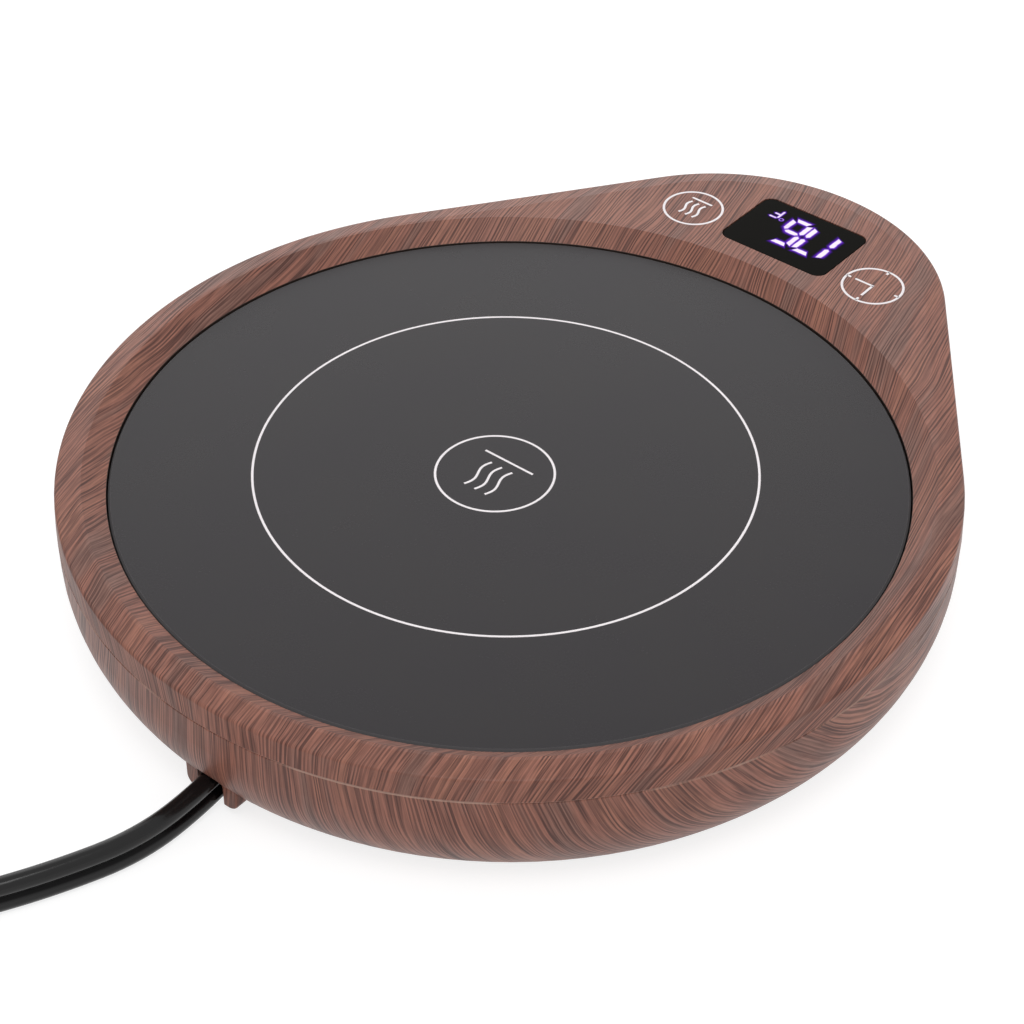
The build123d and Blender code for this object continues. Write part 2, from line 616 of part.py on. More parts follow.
def make_heat_spreader():
    return rod(SPREADER_RADIUS, SPREADER_UNDER_Z, PLATE_UNDER_Z)


def make_heating_film():
    film = rod(FILM_RADIUS, FILM_UNDER_Z, SPREADER_UNDER_Z)
    tab = block((FILM_TAB_WIDTH, FILM_TAB_REACH / 2, FILM_THICKNESS), FILM_TAB_X, -FILM_TAB_REACH * 0.75, FILM_UNDER_Z)
    return film + tab - rod(SENSOR_HOLE_RADIUS, FILM_UNDER_Z, SPREADER_UNDER_Z)


def fuse_slot(low, high):
    width = 2 * FUSE_RADIUS + 2 * FUSE_CLEARANCE
    return block((width, FUSE_LENGTH + 2 * FUSE_LEAD_ROOM, high - low), FUSE_X, 0, low)


def make_insulation_pad():
    pad = rod(PAD_RADIUS, PAD_UNDER_Z, FILM_UNDER_Z)
    return pad - rod(SENSOR_HOLE_RADIUS, PAD_UNDER_Z, FILM_UNDER_Z) - fuse_slot(PAD_UNDER_Z, FILM_UNDER_Z)


def make_heater_clamp():
    """Pressed steel spider that holds the heater stack up against the plate."""
    clamp = rod(CLAMP_RADIUS, CLAMP_UNDER_Z, PAD_UNDER_Z)
    for angle in CLAMP_ARM_ANGLES:
        arm = Pos(CLAMP_SCREW_CIRCLE / 2, 0, 0) * Rectangle(CLAMP_SCREW_CIRCLE, CLAMP_ARM_WIDTH)
        end = Pos(CLAMP_SCREW_CIRCLE, 0, 0) * Circle(CLAMP_ARM_WIDTH / 2)
        clamp += slab(at(0, 0) * Rot(0, 0, angle) * (arm + end), CLAMP_UNDER_Z, PAD_UNDER_Z)
        x, y = polar(CLAMP_SCREW_CIRCLE, angle)
        clamp -= rod(HEATER_SCREW[0] + PASS_CLEARANCE, CLAMP_UNDER_Z, PAD_UNDER_Z, x, y)
    return clamp - rod(SENSOR_HOLE_RADIUS, CLAMP_UNDER_Z, PAD_UNDER_Z) - fuse_slot(CLAMP_UNDER_Z, PAD_UNDER_Z)


def make_clamp_screws():
    screws = []
    for angle in CLAMP_ARM_ANGLES:
        x, y = polar(CLAMP_SCREW_CIRCLE, angle)
        screws.append(screw(HEATER_SCREW, x, y, CLAMP_UNDER_Z, HEATER_SCREW_TIP - CLAMP_UNDER_Z))
    return screws


def make_thermistor():
    bead = rod(SENSOR_RADIUS, SPREADER_UNDER_Z - SENSOR_HEIGHT, SPREADER_UNDER_Z)
    return chamfer(edges_at(bead, SPREADER_UNDER_Z - SENSOR_HEIGHT), TINY_CHAMFER)


def make_thermal_fuse():
    body = Rot(90, 0, 0) * Cylinder(FUSE_RADIUS, FUSE_LENGTH)
    body = chamfer(body.edges(), TINY_CHAMFER)
    return at(FUSE_X, 0, FILM_UNDER_Z - FUSE_RADIUS) * body


# ---------------------------------------------------------------- display end
def make_display_window():
    lens = extrude(window_sketch(LENS_GAP, DECK_Z - LENS_SINK - LENS_THICKNESS), amount=LENS_THICKNESS)
    return chamfer(lens.faces().sort_by(Axis.Z)[-1].edges(), LENS_CHAMFER)


def make_light_gasket():
    outer = block((DISPLAY_SIZE[0], DISPLAY_SIZE[1], GASKET_THICKNESS), 0, WINDOW_Y, DISPLAY_TOP_Z)
    inner = (DISPLAY_SIZE[0] - 2 * GASKET_FRAME, DISPLAY_SIZE[1] - 2 * GASKET_FRAME, GASKET_THICKNESS)
    return outer - block(inner, 0, WINDOW_Y, DISPLAY_TOP_Z)


def make_led_display():
    return moulded_block(DISPLAY_SIZE, 0, WINDOW_Y, DISPLAY_BOARD_TOP_Z, TINY_CHAMFER)


def make_display_board():
    """Crescent board that fits between the plate well and the nose."""
    face = outline(DISPLAY_BOARD_INSET, 0) - at(0, 0) * Circle(WELL_RADIUS + BOARD_WELL_GAP)
    limits = at(0, NOSE_Y - NOSE_RADIUS / 2) * Rectangle(2 * DISPLAY_BOARD_HALF_WIDTH, NOSE_RADIUS)
    board = slab(face & limits, DISPLAY_BOARD_UNDER_Z, DISPLAY_BOARD_TOP_Z)
    for x, y in display_posts():
        board -= rod(SMALL_SCREW[0] + PASS_CLEARANCE, DISPLAY_BOARD_UNDER_Z, DISPLAY_BOARD_TOP_Z, x, y)
    return board


def make_display_board_screws():
    length = DISPLAY_SCREW_TIP - DISPLAY_BOARD_UNDER_Z
    return [screw(SMALL_SCREW, x, y, DISPLAY_BOARD_UNDER_Z, length) for x, y in display_posts()]


def make_controller_chip():
    return block(CHIP_SIZE, *by_nose(*CHIP_PLACE), DISPLAY_BOARD_UNDER_Z - CHIP_SIZE[2])


def make_touch_pad(side):
    return rod(TOUCH_RADIUS, DISPLAY_BOARD_TOP_Z, DECK_UNDER_Z, side * TOUCH_X, TOUCH_Y)


# ---------------------------------------------------------------- power board
def make_power_board():
    front = NOSE_Y - NOSE_RADIUS
    limits = at(0, (POWER_BACK_Y + front) / 2) * Rectangle(2 * POWER_BOARD_HALF_WIDTH, POWER_BACK_Y - front)
    board = slab(outline(POWER_BOARD_INSET, 0) & limits, POWER_BOARD_UNDER_Z, POWER_BOARD_TOP_Z)
    for x, y in power_posts():
        board -= rod(SMALL_SCREW[0] + PASS_CLEARANCE, POWER_BOARD_UNDER_Z, POWER_BOARD_TOP_Z, x, y)
    return board


def make_power_board_screws():
    length = POWER_BOARD_THICKNESS + POST_BITE
    return [screw(SMALL_SCREW, x, y, POWER_BOARD_TOP_Z, length, up=False) for x, y in power_posts()]


def make_film_capacitor():
    return moulded_block(FILM_CAPACITOR_SIZE, *by_nose(*FILM_CAPACITOR_PLACE), POWER_BOARD_TOP_Z, TINY_CHAMFER)


def make_smoothing_capacitor():
    can = Rot(0, 90, 0) * Cylinder(SMOOTHING_RADIUS, SMOOTHING_LENGTH)
    can = chamfer(can.edges(), TINY_CHAMFER)
    return at(*by_nose(*SMOOTHING_PLACE), POWER_BOARD_TOP_Z + SMOOTHING_RADIUS + SMOOTHING_LIFT) * can


def make_triac():
    x, y = by_nose(*TRIAC_PLACE)
    body = block(TRIAC_BODY, x, y, POWER_BOARD_TOP_Z)
    tab_y = y - (TRIAC_BODY[1] + TRIAC_TAB[1]) / 2
    tab = block(TRIAC_TAB, x, tab_y, POWER_BOARD_TOP_Z)
    return body + tab - rod(TRIAC_HOLE_RADIUS, POWER_BOARD_TOP_Z, POWER_BOARD_TOP_Z + TRIAC_TAB[2], x, tab_y)


def make_varistor():
    top = POWER_BOARD_TOP_Z + VARISTOR_HEIGHT
    disc = rod(VARISTOR_RADIUS, POWER_BOARD_TOP_Z, top, *by_nose(*VARISTOR_PLACE))
    return chamfer(edges_at(disc, top), VARISTOR_CHAMFER)


def make_mains_fuse():
    return moulded_block(MAINS_FUSE_SIZE, *by_nose(*MAINS_FUSE_PLACE), POWER_BOARD_TOP_Z, TINY_CHAMFER)


def make_link_ribbon():
    """Flat cable between the two boards."""
    middle = (DISPLAY_BOARD_UNDER_Z + POWER_BOARD_TOP_Z) / 2
    top_y = NOSE_Y + RIBBON_TOP
    foot_y = NOSE_Y + RIBBON_FOOT
    points = [(0, top_y, DISPLAY_BOARD_UNDER_Z), (0, top_y, middle + RIBBON_BEND),
              (0, foot_y, middle - RIBBON_BEND), (0, foot_y, POWER_BOARD_TOP_Z)]
    path = FilletPolyline(*shifted(points), radius=RIBBON_BEND)
    section = Plane(origin=path @ 0, x_dir=(1, 0, 0), z_dir=path % 0) * Rectangle(RIBBON_WIDTH, RIBBON_THICKNESS)
    return sweep(section, path=path)


# ---------------------------------------------------------------- wires inside
def make_mains_leads():
    """The cord's two cores, from the end of its jacket to the power board."""
    half = CORD_THICKNESS / 2
    high, low = CORD_INSIDE_Z + half, CORD_INSIDE_Z - half
    reach = CLAMP_RADIUS
    top = POWER_BOARD_TOP_Z
    upper_x, lower_x = MAINS_LEAD_X
    upper = [(0, CORD_END_Y, high), (0, CORD_END_Y - 0.2 * reach, high), (-0.29 * reach, 0.36 * reach, LEAD_HIGH_Z),
             (-0.39 * reach, -0.21 * reach, LEAD_HIGH_Z), (upper_x, LEAD_FOOT_Y, LEAD_HIGH_Z), (upper_x, LEAD_FOOT_Y, top)]
    lower = [(0, CORD_END_Y, low), (0, CORD_END_Y - 0.09 * reach, low), (-0.08 * reach, 0.73 * reach, LEAD_LOW_Z),
             (-0.44 * reach, 0.31 * reach, LEAD_LOW_Z), (-0.52 * reach, -0.21 * reach, LEAD_LOW_Z),
             (lower_x, LEAD_FOOT_Y, LEAD_HIGH_Z), (lower_x, LEAD_FOOT_Y, top)]
    return [lead(upper, LEAD_RADIUS, LEAD_BEND), lead(lower, LEAD_RADIUS, LEAD_BEND)]


def make_heater_leads():
    leads = []
    tab_y = -(CLAMP_RADIUS + FILM_TAB_LENGTH / 2)
    foot_y = tab_y - FILM_TAB_LENGTH
    for side in (-1, 1):
        x = FILM_TAB_X + side * FILM_TAB_WIDTH / 6
        points = [(x, tab_y, FILM_UNDER_Z), (x, tab_y, CLAMP_UNDER_Z), (x, foot_y, CLAMP_UNDER_Z - LEAD_BEND),
                  (x, foot_y, POWER_BOARD_TOP_Z)]
        leads.append(lead(points, LEAD_RADIUS, LEAD_BEND * 0.7))
    return leads


def make_sensor_leads():
    leads = []
    start = SPREADER_UNDER_Z - SENSOR_HEIGHT
    for side in (-1, 1):
        x = side * SENSOR_LEAD_X
        points = [(x, 0, start), (x, 0, LEAD_HIGH_Z), (2 * x, LEAD_FOOT_Y, LEAD_HIGH_Z),
                  (2 * x, LEAD_FOOT_Y, POWER_BOARD_TOP_Z)]
        leads.append(lead(points, THIN_LEAD_RADIUS, THIN_LEAD_BEND))
    return leads


def make_fuse_leads():
    """From the fuse's two ends down through the clamp's slot and back to the power board."""
    axis = FILM_UNDER_Z - FUSE_RADIUS
    end = FUSE_LENGTH / 2
    turn = end + FUSE_LEAD_ROOM * 0.55
    near_x, far_x = FUSE_LEAD_X
    near = [(FUSE_X, -end, axis), (FUSE_X, -turn, axis), (FUSE_X, -turn, LEAD_HIGH_Z + LEAD_GAP),
            (near_x, LEAD_FOOT_Y, LEAD_HIGH_Z), (near_x, LEAD_FOOT_Y, POWER_BOARD_TOP_Z)]
    far = [(FUSE_X, end, axis), (FUSE_X, turn, axis), (FUSE_X, turn, LEAD_HIGH_Z),
           (FUSE_X * 0.75, -end, LEAD_HIGH_Z), (far_x, LEAD_FOOT_Y, LEAD_HIGH_Z), (far_x, LEAD_FOOT_Y, POWER_BOARD_TOP_Z)]
    return [lead(near, THIN_LEAD_RADIUS, THIN_LEAD_BEND), lead(far, THIN_LEAD_RADIUS, THIN_LEAD_BEND)]


# ---------------------------------------------------------------- cord and plug
def make_cord_clamp():
    length = 2 * (CORD_POST_X + CORD_POST_RADIUS)
    bar = block((length, CORD_CLAMP_WIDTH, CORD_CLAMP_THICKNESS), 0, CORD_POST_Y, CORD_POST_TOP)
    bar = fillet(bar.edges().filter_by(Axis.Z), CORD_CLAMP_WIDTH * 0.4)
    for side in (-1, 1):
        bar -= rod(SMALL_SCREW[0] + PASS_CLEARANCE, CORD_POST_TOP, CORD_POST_TOP + CORD_CLAMP_THICKNESS,
                   side * CORD_POST_X, CORD_POST_Y)
    return bar


def make_cord_clamp_screws():
    seat = CORD_POST_TOP + CORD_CLAMP_THICKNESS
    length = CORD_CLAMP_THICKNESS + POST_BITE
    return [screw(SMALL_SCREW, side * CORD_POST_X, CORD_POST_Y, seat, length, up=False) for side in (-1, 1)]


def coil_stub(start, end, low):
    """Straight end of the coil's outer turn, on edge like the cord."""
    first = Vector(start[0], PLATE_Y + start[1], low)
    second = Vector(end[0], PLATE_Y + end[1], low)
    way = second - first
    section = Plane(origin=first, x_dir=(0, 0, 1), z_dir=way) * SlotOverall(CORD_WIDTH, CORD_THICKNESS)
    return extrude(section, amount=way.length)


def make_cord_coil():
    """Outer shape of the wound cord: a rounded ring with its two straight ends."""
    x, y = COIL_CENTRE
    outer = COIL_OUTER_TURN + CORD_THICKNESS / 2
    inner = COIL_INNER_TURN - CORD_THICKNESS / 2
    height = COIL_LAYERS * CORD_WIDTH
    section = Pos((outer + inner) / 2, 0, COIL_LIFT + height / 2) * (
        Rot(90, 0, 0) * RectangleRounded(outer - inner, height, COIL_ROUND))
    ring = at(x, y) * revolve(section, axis=Axis.Z)
    entry = coil_stub((x - COIL_ENTRY_STUB, y + COIL_OUTER_TURN), (x, y + COIL_OUTER_TURN), COIL_LAYER_Z)
    leave = coil_stub((x + COIL_OUTER_TURN, y - COIL_EXIT_STUB), (x + COIL_OUTER_TURN, y), COIL_EXIT_Z)
    return ring + entry + leave


def make_cord_tie():
    """Strap round the bundle of turns."""
    height = COIL_LAYERS * CORD_WIDTH + 2 * TIE_GAP
    width = COIL_OUTER_TURN - COIL_INNER_TURN + CORD_THICKNESS + 2 * TIE_GAP
    middle = (COIL_OUTER_TURN + COIL_INNER_TURN) / 2
    outer = RectangleRounded(width + 2 * TIE_THICKNESS, height + 2 * TIE_THICKNESS, COIL_ROUND + TIE_THICKNESS)
    section = outer - RectangleRounded(width, height, COIL_ROUND)
    sweep_angle = degrees(TIE_WIDTH / middle)
    centre_z = COIL_LIFT + COIL_LAYERS * CORD_WIDTH / 2
    strap = revolve(Pos(middle, 0, centre_z) * (Rot(90, 0, 0) * section), axis=Axis.Z, revolution_arc=sweep_angle)
    return at(*COIL_CENTRE) * Rot(0, 0, TIE_ANGLE) * strap


def make_plug_body():
    """Moulded two-blade plug, lying flat with its tail towards the coil."""
    def section(y, width, height, corner):
        plane = Plane(origin=(PLUG_X, PLATE_Y + y, PLUG_HEIGHT / 2), x_dir=(1, 0, 0), z_dir=(0, -1, 0))
        return plane * RectangleRounded(width, height, corner)

    shoulder = PLUG_TAIL_Y - PLUG_TAIL_LENGTH
    face = shoulder - PLUG_LENGTH
    tail_width, tail_height = PLUG_TAIL_SIZE
    grip = loft([section(shoulder, PLUG_WIDTH * 0.8, PLUG_HEIGHT * 0.85, PLUG_ROUND),
                 section(face, PLUG_WIDTH, PLUG_HEIGHT, PLUG_ROUND)], ruled=True)
    tail = loft([section(PLUG_TAIL_Y, tail_width, tail_height, PLUG_ROUND),
                 section(shoulder, tail_width * 1.25, tail_height * 1.2, PLUG_ROUND)], ruled=True)
    body = grip + tail
    for side in (-1, 1):
        body -= blade_root(side, face)
    return body


def blade_root(side, face):
    x = PLUG_X + side * BLADE_SPACING / 2
    return block((BLADE_THICKNESS, BLADE_ROOT, BLADE_WIDTH), x, face + BLADE_ROOT / 2,
                 PLUG_HEIGHT / 2 - BLADE_WIDTH / 2)


def make_plug_blades():
    blades = []
    face = PLUG_TAIL_Y - PLUG_TAIL_LENGTH - PLUG_LENGTH
    length = BLADE_LENGTH + BLADE_ROOT
    low = PLUG_HEIGHT / 2 - BLADE_WIDTH / 2
    for side in (-1, 1):
        x = PLUG_X + side * BLADE_SPACING / 2
        blade = block((BLADE_THICKNESS, length, BLADE_WIDTH), x, face + BLADE_ROOT - length / 2, low)
        tip = blade.faces().sort_by(Axis.Y)[0]
        blade = chamfer(tip.edges().filter_by(Axis.X), BLADE_CHAMFER)
        hole_y = face - BLADE_LENGTH + BLADE_HOLE_FROM_TIP
        hole = at(x, hole_y, PLUG_HEIGHT / 2) * Rot(0, 90, 0) * Cylinder(BLADE_HOLE_RADIUS, 2 * BLADE_THICKNESS)
        blades.append(blade - hole)
    return blades


# ---------------------------------------------------------------- fasteners and feet
def make_case_screws():
    length = CASE_BOSS_TOP - CASE_SEAT_Z + CASE_SCREW_BITE
    places = [polar(CASE_SCREW_CIRCLE, angle) for angle in CASE_SCREW_ANGLES]
    return [screw(CASE_SCREW, x, y, CASE_SEAT_Z, length) for x, y in places]


def make_rubber_feet():
    feet = []
    for x, y in foot_places():
        foot = rod(FOOT_RADIUS, 0, BASE_Z + FOOT_POCKET, x, y)
        feet.append(chamfer(edges_at(foot, 0), TINY_CHAMFER))
    return feet


# ---------------------------------------------------------------- write every node
def write(name, shape):
    solids = shape if isinstance(shape, list) else [shape]
    solids = [solid for item in solids for solid in item.solids()]
    node = solids[0] if len(solids) == 1 else Compound(children=solids)
    node.label = name
    export_step(node, f"parts/{name}.step")


def main():
    os.makedirs("parts", exist_ok=True)
    power_cord, cord_length = flat_cord(CORD_ROUTE, "power_cord")
    plug_lead, lead_length = flat_cord(PLUG_LEAD_ROUTE, "plug_lead")
    coil_turn = pi * (COIL_OUTER_TURN + COIL_INNER_TURN)
    stubs = COIL_ENTRY_STUB + COIL_EXIT_STUB
    print("cord length", round(cord_length + lead_length + stubs + 5.25 * coil_turn))
    write("top_cover", make_top_cover())
    write("bottom_case", make_bottom_case())
    write("glass_plate", make_glass_plate())
    write("plate_seal", make_plate_seal())
    write("heat_spreader", make_heat_spreader())
    write("heating_film", make_heating_film())
    write("insulation_pad", make_insulation_pad())
    write("heater_clamp", make_heater_clamp())
    write("clamp_screws", make_clamp_screws())
    write("thermistor", make_thermistor())
    write("thermal_fuse", make_thermal_fuse())
    write("display_window", make_display_window())
    write("light_gasket", make_light_gasket())
    write("led_display", make_led_display())
    write("display_board", make_display_board())
    write("display_board_screws", make_display_board_screws())
    write("controller_chip", make_controller_chip())
    write("touch_pad_heat", make_touch_pad(1))
    write("touch_pad_timer", make_touch_pad(-1))
    write("power_board", make_power_board())
    write("power_board_screws", make_power_board_screws())
    write("film_capacitor", make_film_capacitor())
    write("smoothing_capacitor", make_smoothing_capacitor())
    write("triac", make_triac())
    write("varistor", make_varistor())
    write("mains_fuse", make_mains_fuse())
    write("link_ribbon", make_link_ribbon())
    write("mains_leads", make_mains_leads())
    write("heater_leads", make_heater_leads())
    write("sensor_leads", make_sensor_leads())
    write("fuse_leads", make_fuse_leads())
    write("cord_clamp", make_cord_clamp())
    write("cord_clamp_screws", make_cord_clamp_screws())
    write("case_screws", make_case_screws())
    write("rubber_feet", make_rubber_feet())
    write("power_cord", power_cord)
    write("cord_coil", make_cord_coil())
    write("cord_tie", make_cord_tie())
    write("plug_lead", plug_lead)
    write("plug_body", make_plug_body())
    write("plug_blades", make_plug_blades())


main()
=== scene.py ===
"""Electric mug warmer: finishes, printed marks, lit display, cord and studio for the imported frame."""
from math import asin, cos, pi, radians, sin

import bmesh
import bpy
from mathutils import Matrix, Vector


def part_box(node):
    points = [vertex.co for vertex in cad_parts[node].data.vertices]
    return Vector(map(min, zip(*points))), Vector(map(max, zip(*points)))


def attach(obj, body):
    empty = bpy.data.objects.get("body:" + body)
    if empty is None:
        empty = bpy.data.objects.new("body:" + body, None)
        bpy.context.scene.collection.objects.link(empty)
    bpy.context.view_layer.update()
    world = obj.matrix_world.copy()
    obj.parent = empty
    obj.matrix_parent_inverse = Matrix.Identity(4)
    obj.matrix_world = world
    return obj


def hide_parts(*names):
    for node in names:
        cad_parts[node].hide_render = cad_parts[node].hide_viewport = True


bl_info = {
    "name": "Mug Warmer Dressing",
    "version": (1, 0, 0),
    "blender": (4, 5, 0),
    "location": "View3D > Sidebar > Mug Warmer",
    "description": "Dresses the packed mug warmer with its finishes, prints, display, cord and studio",
    "category": "Object",
}

MM = 0.001

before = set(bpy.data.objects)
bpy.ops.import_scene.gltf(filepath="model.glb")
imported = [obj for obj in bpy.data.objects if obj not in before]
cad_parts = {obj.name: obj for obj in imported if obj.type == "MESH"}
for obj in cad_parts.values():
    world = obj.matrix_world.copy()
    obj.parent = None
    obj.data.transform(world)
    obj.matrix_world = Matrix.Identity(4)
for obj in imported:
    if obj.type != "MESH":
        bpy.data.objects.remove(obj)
bpy.context.view_layer.update()

# ---- levels and places read from the frame, metres ----
PLATE_LOW, PLATE_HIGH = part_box("glass_plate")
PLATE_TOP_Z = PLATE_HIGH[2]
PLATE_Y = (PLATE_LOW[1] + PLATE_HIGH[1]) / 2
PLATE_RADIUS = (PLATE_HIGH[0] - PLATE_LOW[0]) / 2
DECK_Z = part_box("top_cover")[1][2]
LENS_TOP_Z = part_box("display_window")[1][2]
BASE_Z, PARTING_Z = (corner[2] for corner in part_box("bottom_case"))
TOUCH_X, TOUCH_Y, _ = ((low + high) / 2 for low, high in zip(*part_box("touch_pad_heat")))

# ---- tear-drop outline, millimetres from the plate's axis ----
NOSE_REACH = 53.6
FLANK_TANGENT = 0.7082
RIM_INSIDE = 61.2
BORE_RADIUS = 57.72


def at(x, y, z=0.0):
    """Place given in millimetres from the plate's axis, as metres in the frame."""
    return Vector((x * MM, y * MM + PLATE_Y, z * MM))


# ---- settings a user would change ----
def colour_setting(name, description, *colour):
    return bpy.props.FloatVectorProperty(name=name, description=description, subtype="COLOR", size=4,
                                         min=0, max=1, default=(*colour, 1))


def number_setting(name, description, default, **kind):
    return bpy.props.FloatProperty(name=name, description=description, default=default, **kind)


def length_setting(name, description, millimetres):
    return number_setting(name, description, millimetres * MM, subtype="DISTANCE", unit="LENGTH")


def power_setting(name, description, watts):
    return number_setting(name, description, watts, subtype="POWER", unit="POWER")


class HousingSettings(bpy.types.PropertyGroup):
    """Printed wood film on the two mouldings."""
    ground: colour_setting("Ground", "Brown between the grain lines", 0.304, 0.124, 0.087)
    warm: colour_setting("Warm Band", "Redder bands of the film", 0.335, 0.140, 0.094)
    grey: colour_setting("Grey Band", "Greyer bands of the film", 0.240, 0.118, 0.090)
    line: colour_setting("Grain Line", "Dark brown of the grain lines", 0.075, 0.026, 0.019)
    pitch: number_setting("Line Pitch", "Usual distance between grain lines, millimetres", 0.53,
                          min=0.2, max=5)
    angle: number_setting("Grain Angle", "Turn of the grain from the part's long axis", radians(11),
                          subtype="ANGLE", unit="ROTATION")
    strength: number_setting("Line Strength", "How dark the grain lines are", 0.92,
                             subtype="FACTOR", min=0, max=1)


class PlateSettings(bpy.types.PropertyGroup):
    """Warming plate and the printed marks."""
    glass: colour_setting("Glass", "Colour of the black glass", 0.0135, 0.0105, 0.0135)
    ink: colour_setting("Ink", "Soft white of the printed marks", 0.95, 0.90, 0.92)
    ring_radius: length_setting("Ring Radius", "Centre line of the mug's ring", 36.45)
    ring_line: length_setting("Ring Line", "Width of the ring's line", 0.36)
    mark_line: length_setting("Mark Line", "Width of the lines of the touch marks", 0.40)
    touch_ring: length_setting("Touch Ring", "Radius of the ring round each touch mark", 4.78)


class DisplaySettings(bpy.types.PropertyGroup):
    """Lit display."""
    window: colour_setting("Window", "Colour of the smoked window", 0.0018, 0.0013, 0.0004)
    lit: colour_setting("Lit Core", "Colour at the middle of a lit segment", 1.0, 0.91, 1.0)
    glow: colour_setting("Glow", "Colour at the edge of a lit segment", 0.13, 0.016, 0.60)
    reading: bpy.props.StringProperty(name="Reading", description="Digits that the display shows",
                                      default="176")


class CordSettings(bpy.types.PropertyGroup):
    """Flat two-core cord."""
    width: length_setting("Width", "Across both cores", 5.4)
    thickness: length_setting("Thickness", "Across one core", 2.7)
    web: length_setting("Web", "Thickness of the web between the cores", 1.3)
    jacket: colour_setting("Jacket", "Colour of the cord and its plug", 0.0035, 0.0033, 0.0035)


class StageSettings(bpy.types.PropertyGroup):
    """Studio round the part."""
    key_power: power_setting("Key", "Power of the large lamp above", 2.5)
    back_power: power_setting("Back", "Power of the lamp beyond the control end", 1.6)
    low_power: power_setting("Low", "Power of the lamp low down beyond the control end", 1.5)
    ambient: number_setting("Ambient", "Even light from all round", 0.77, subtype="FACTOR", min=0, max=2)
    floor: colour_setting("Floor", "Colour of the table", 0.82, 0.82, 0.82)
    lens: number_setting("Lens", "Focal length of the camera", 89.71,
                         subtype="DISTANCE_CAMERA", unit="CAMERA")


# ---- node helpers ----
class Wire:
    """A node's output, so that sums of outputs can be written as sums.

    An index gives another output of the same node."""

    def __init__(self, socket):
        self.socket, self.tree = socket, socket.id_data

    def __getitem__(self, key):
        return Wire(self.socket.node.outputs[key])


for sign, operation in (("add", "ADD"), ("sub", "SUBTRACT"), ("mul", "MULTIPLY"), ("truediv", "DIVIDE")):
    setattr(Wire, f"__{sign}__", lambda self, other, kind=operation: sums(kind, self, other))
    setattr(Wire, f"__r{sign}__", lambda self, other, kind=operation: sums(kind, other, self))


def feed(socket, value):
    """Links a wire to an input, or sets the input to a plain value."""
    if isinstance(value, Wire):
        value.tree.links.new(value.socket, socket)
    else:
        socket.default_value = value


def node(kind, inputs=None, tree=None, **settings):
    """First output of a new node, made in the tree of the wires that feed it or in the one given."""
    inputs = inputs or {}
    tree = tree or next(value.tree for value in inputs.values() if isinstance(value, Wire))
    made = tree.nodes.new(kind)
    for name, value in settings.items():
        setattr(made, name, value)
    for key, value in inputs.items():
        feed(made.inputs[key], value)
    return Wire(made.outputs[0])


def sums(operation, first, second=0.0):
    return node("ShaderNodeMath", {0: first, 1: second}, operation=operation)


def vectors(operation, first, second=(0, 0, 0)):
    made = node("ShaderNodeVectorMath", {0: first, 1: second}, operation=operation)
    return made["Value"] if operation == "LENGTH" else made


def spot(x=0.0, y=0.0, z=0.0):
    """Vector of three numbers, one of them a wire at least."""
    return node("ShaderNodeCombineXYZ", {0: x, 1: y, 2: z})


def split(vector):
    """The three numbers of a vector, X first."""
    return node("ShaderNodeSeparateXYZ", {0: vector})


def blend_colour(factor, first, second, kind="MIX"):
    return node("ShaderNodeMix", {0: factor, 6: first, 7: second}, data_type="RGBA", blend_type=kind)[2]


def tinted(colour, tone):
    """A colour made lighter or darker by a tone near 1."""
    return blend_colour(1.0, colour, tone, "MULTIPLY")


def ramp(value, low, high, start=0.0, end=1.0):
    """Smooth step of a value from low to high."""
    return node("ShaderNodeMapRange",
                {"Value": value, "From Min": low, "From Max": high, "To Min": start, "To Max": end},
                interpolation_type="SMOOTHSTEP")


def noise(vector, scale, detail=0.0, rough=0.5, dimensions="3D"):
    return node("ShaderNodeTexNoise", noise_dimensions=dimensions, inputs={
        "Vector": vector, "Scale": scale, "Detail": detail, "Roughness": rough})


def mapped(vector, scale, offset=(0, 0, 0), turn=0.0):
    """A vector scaled, turned about Z and moved."""
    return node("ShaderNodeMapping",
                {"Vector": vector, "Scale": scale, "Rotation": (0, 0, turn), "Location": offset})


def from_axis(place):
    """Distance from the plate's axis."""
    return vectors("LENGTH", vectors("MULTIPLY", place, (1, 1, 0)))


VECTOR, FLOAT, COLOUR = "NodeSocketVector", "NodeSocketFloat", "NodeSocketColor"
COUNT, OBJECT, MATERIAL = "NodeSocketInt", "NodeSocketObject", "NodeSocketMaterial"
SHAPE = "NodeSocketGeometry"


def node_group(inputs, outputs, kind="ShaderNodeTree"):
    """Turns a function from wires to named outputs into the node group of its name, built once.

    Sockets are given as the names that go with each type."""
    def group_of(build):
        def group():
            made = bpy.data.node_groups.get(build.__name__)
            if made is None:
                made = bpy.data.node_groups.new(build.__name__, kind)
                for side, sockets in ("OUTPUT", outputs), ("INPUT", inputs):
                    for socket_type, labels in sockets.items():
                        for label in labels.split(", "):
                            made.interface.new_socket(name=label, in_out=side, socket_type=socket_type)
                given = Wire(made.nodes.new("NodeGroupInput").outputs[0])
                out = made.nodes.new("NodeGroupOutput")
                for label, value in build(given).items():
                    feed(out.inputs[label], value)
            return made
        return group
    return group_of


def placed(group, values):
    """Puts a shared group into a material with its own values."""
    return node("ShaderNodeGroup", values, node_tree=group())


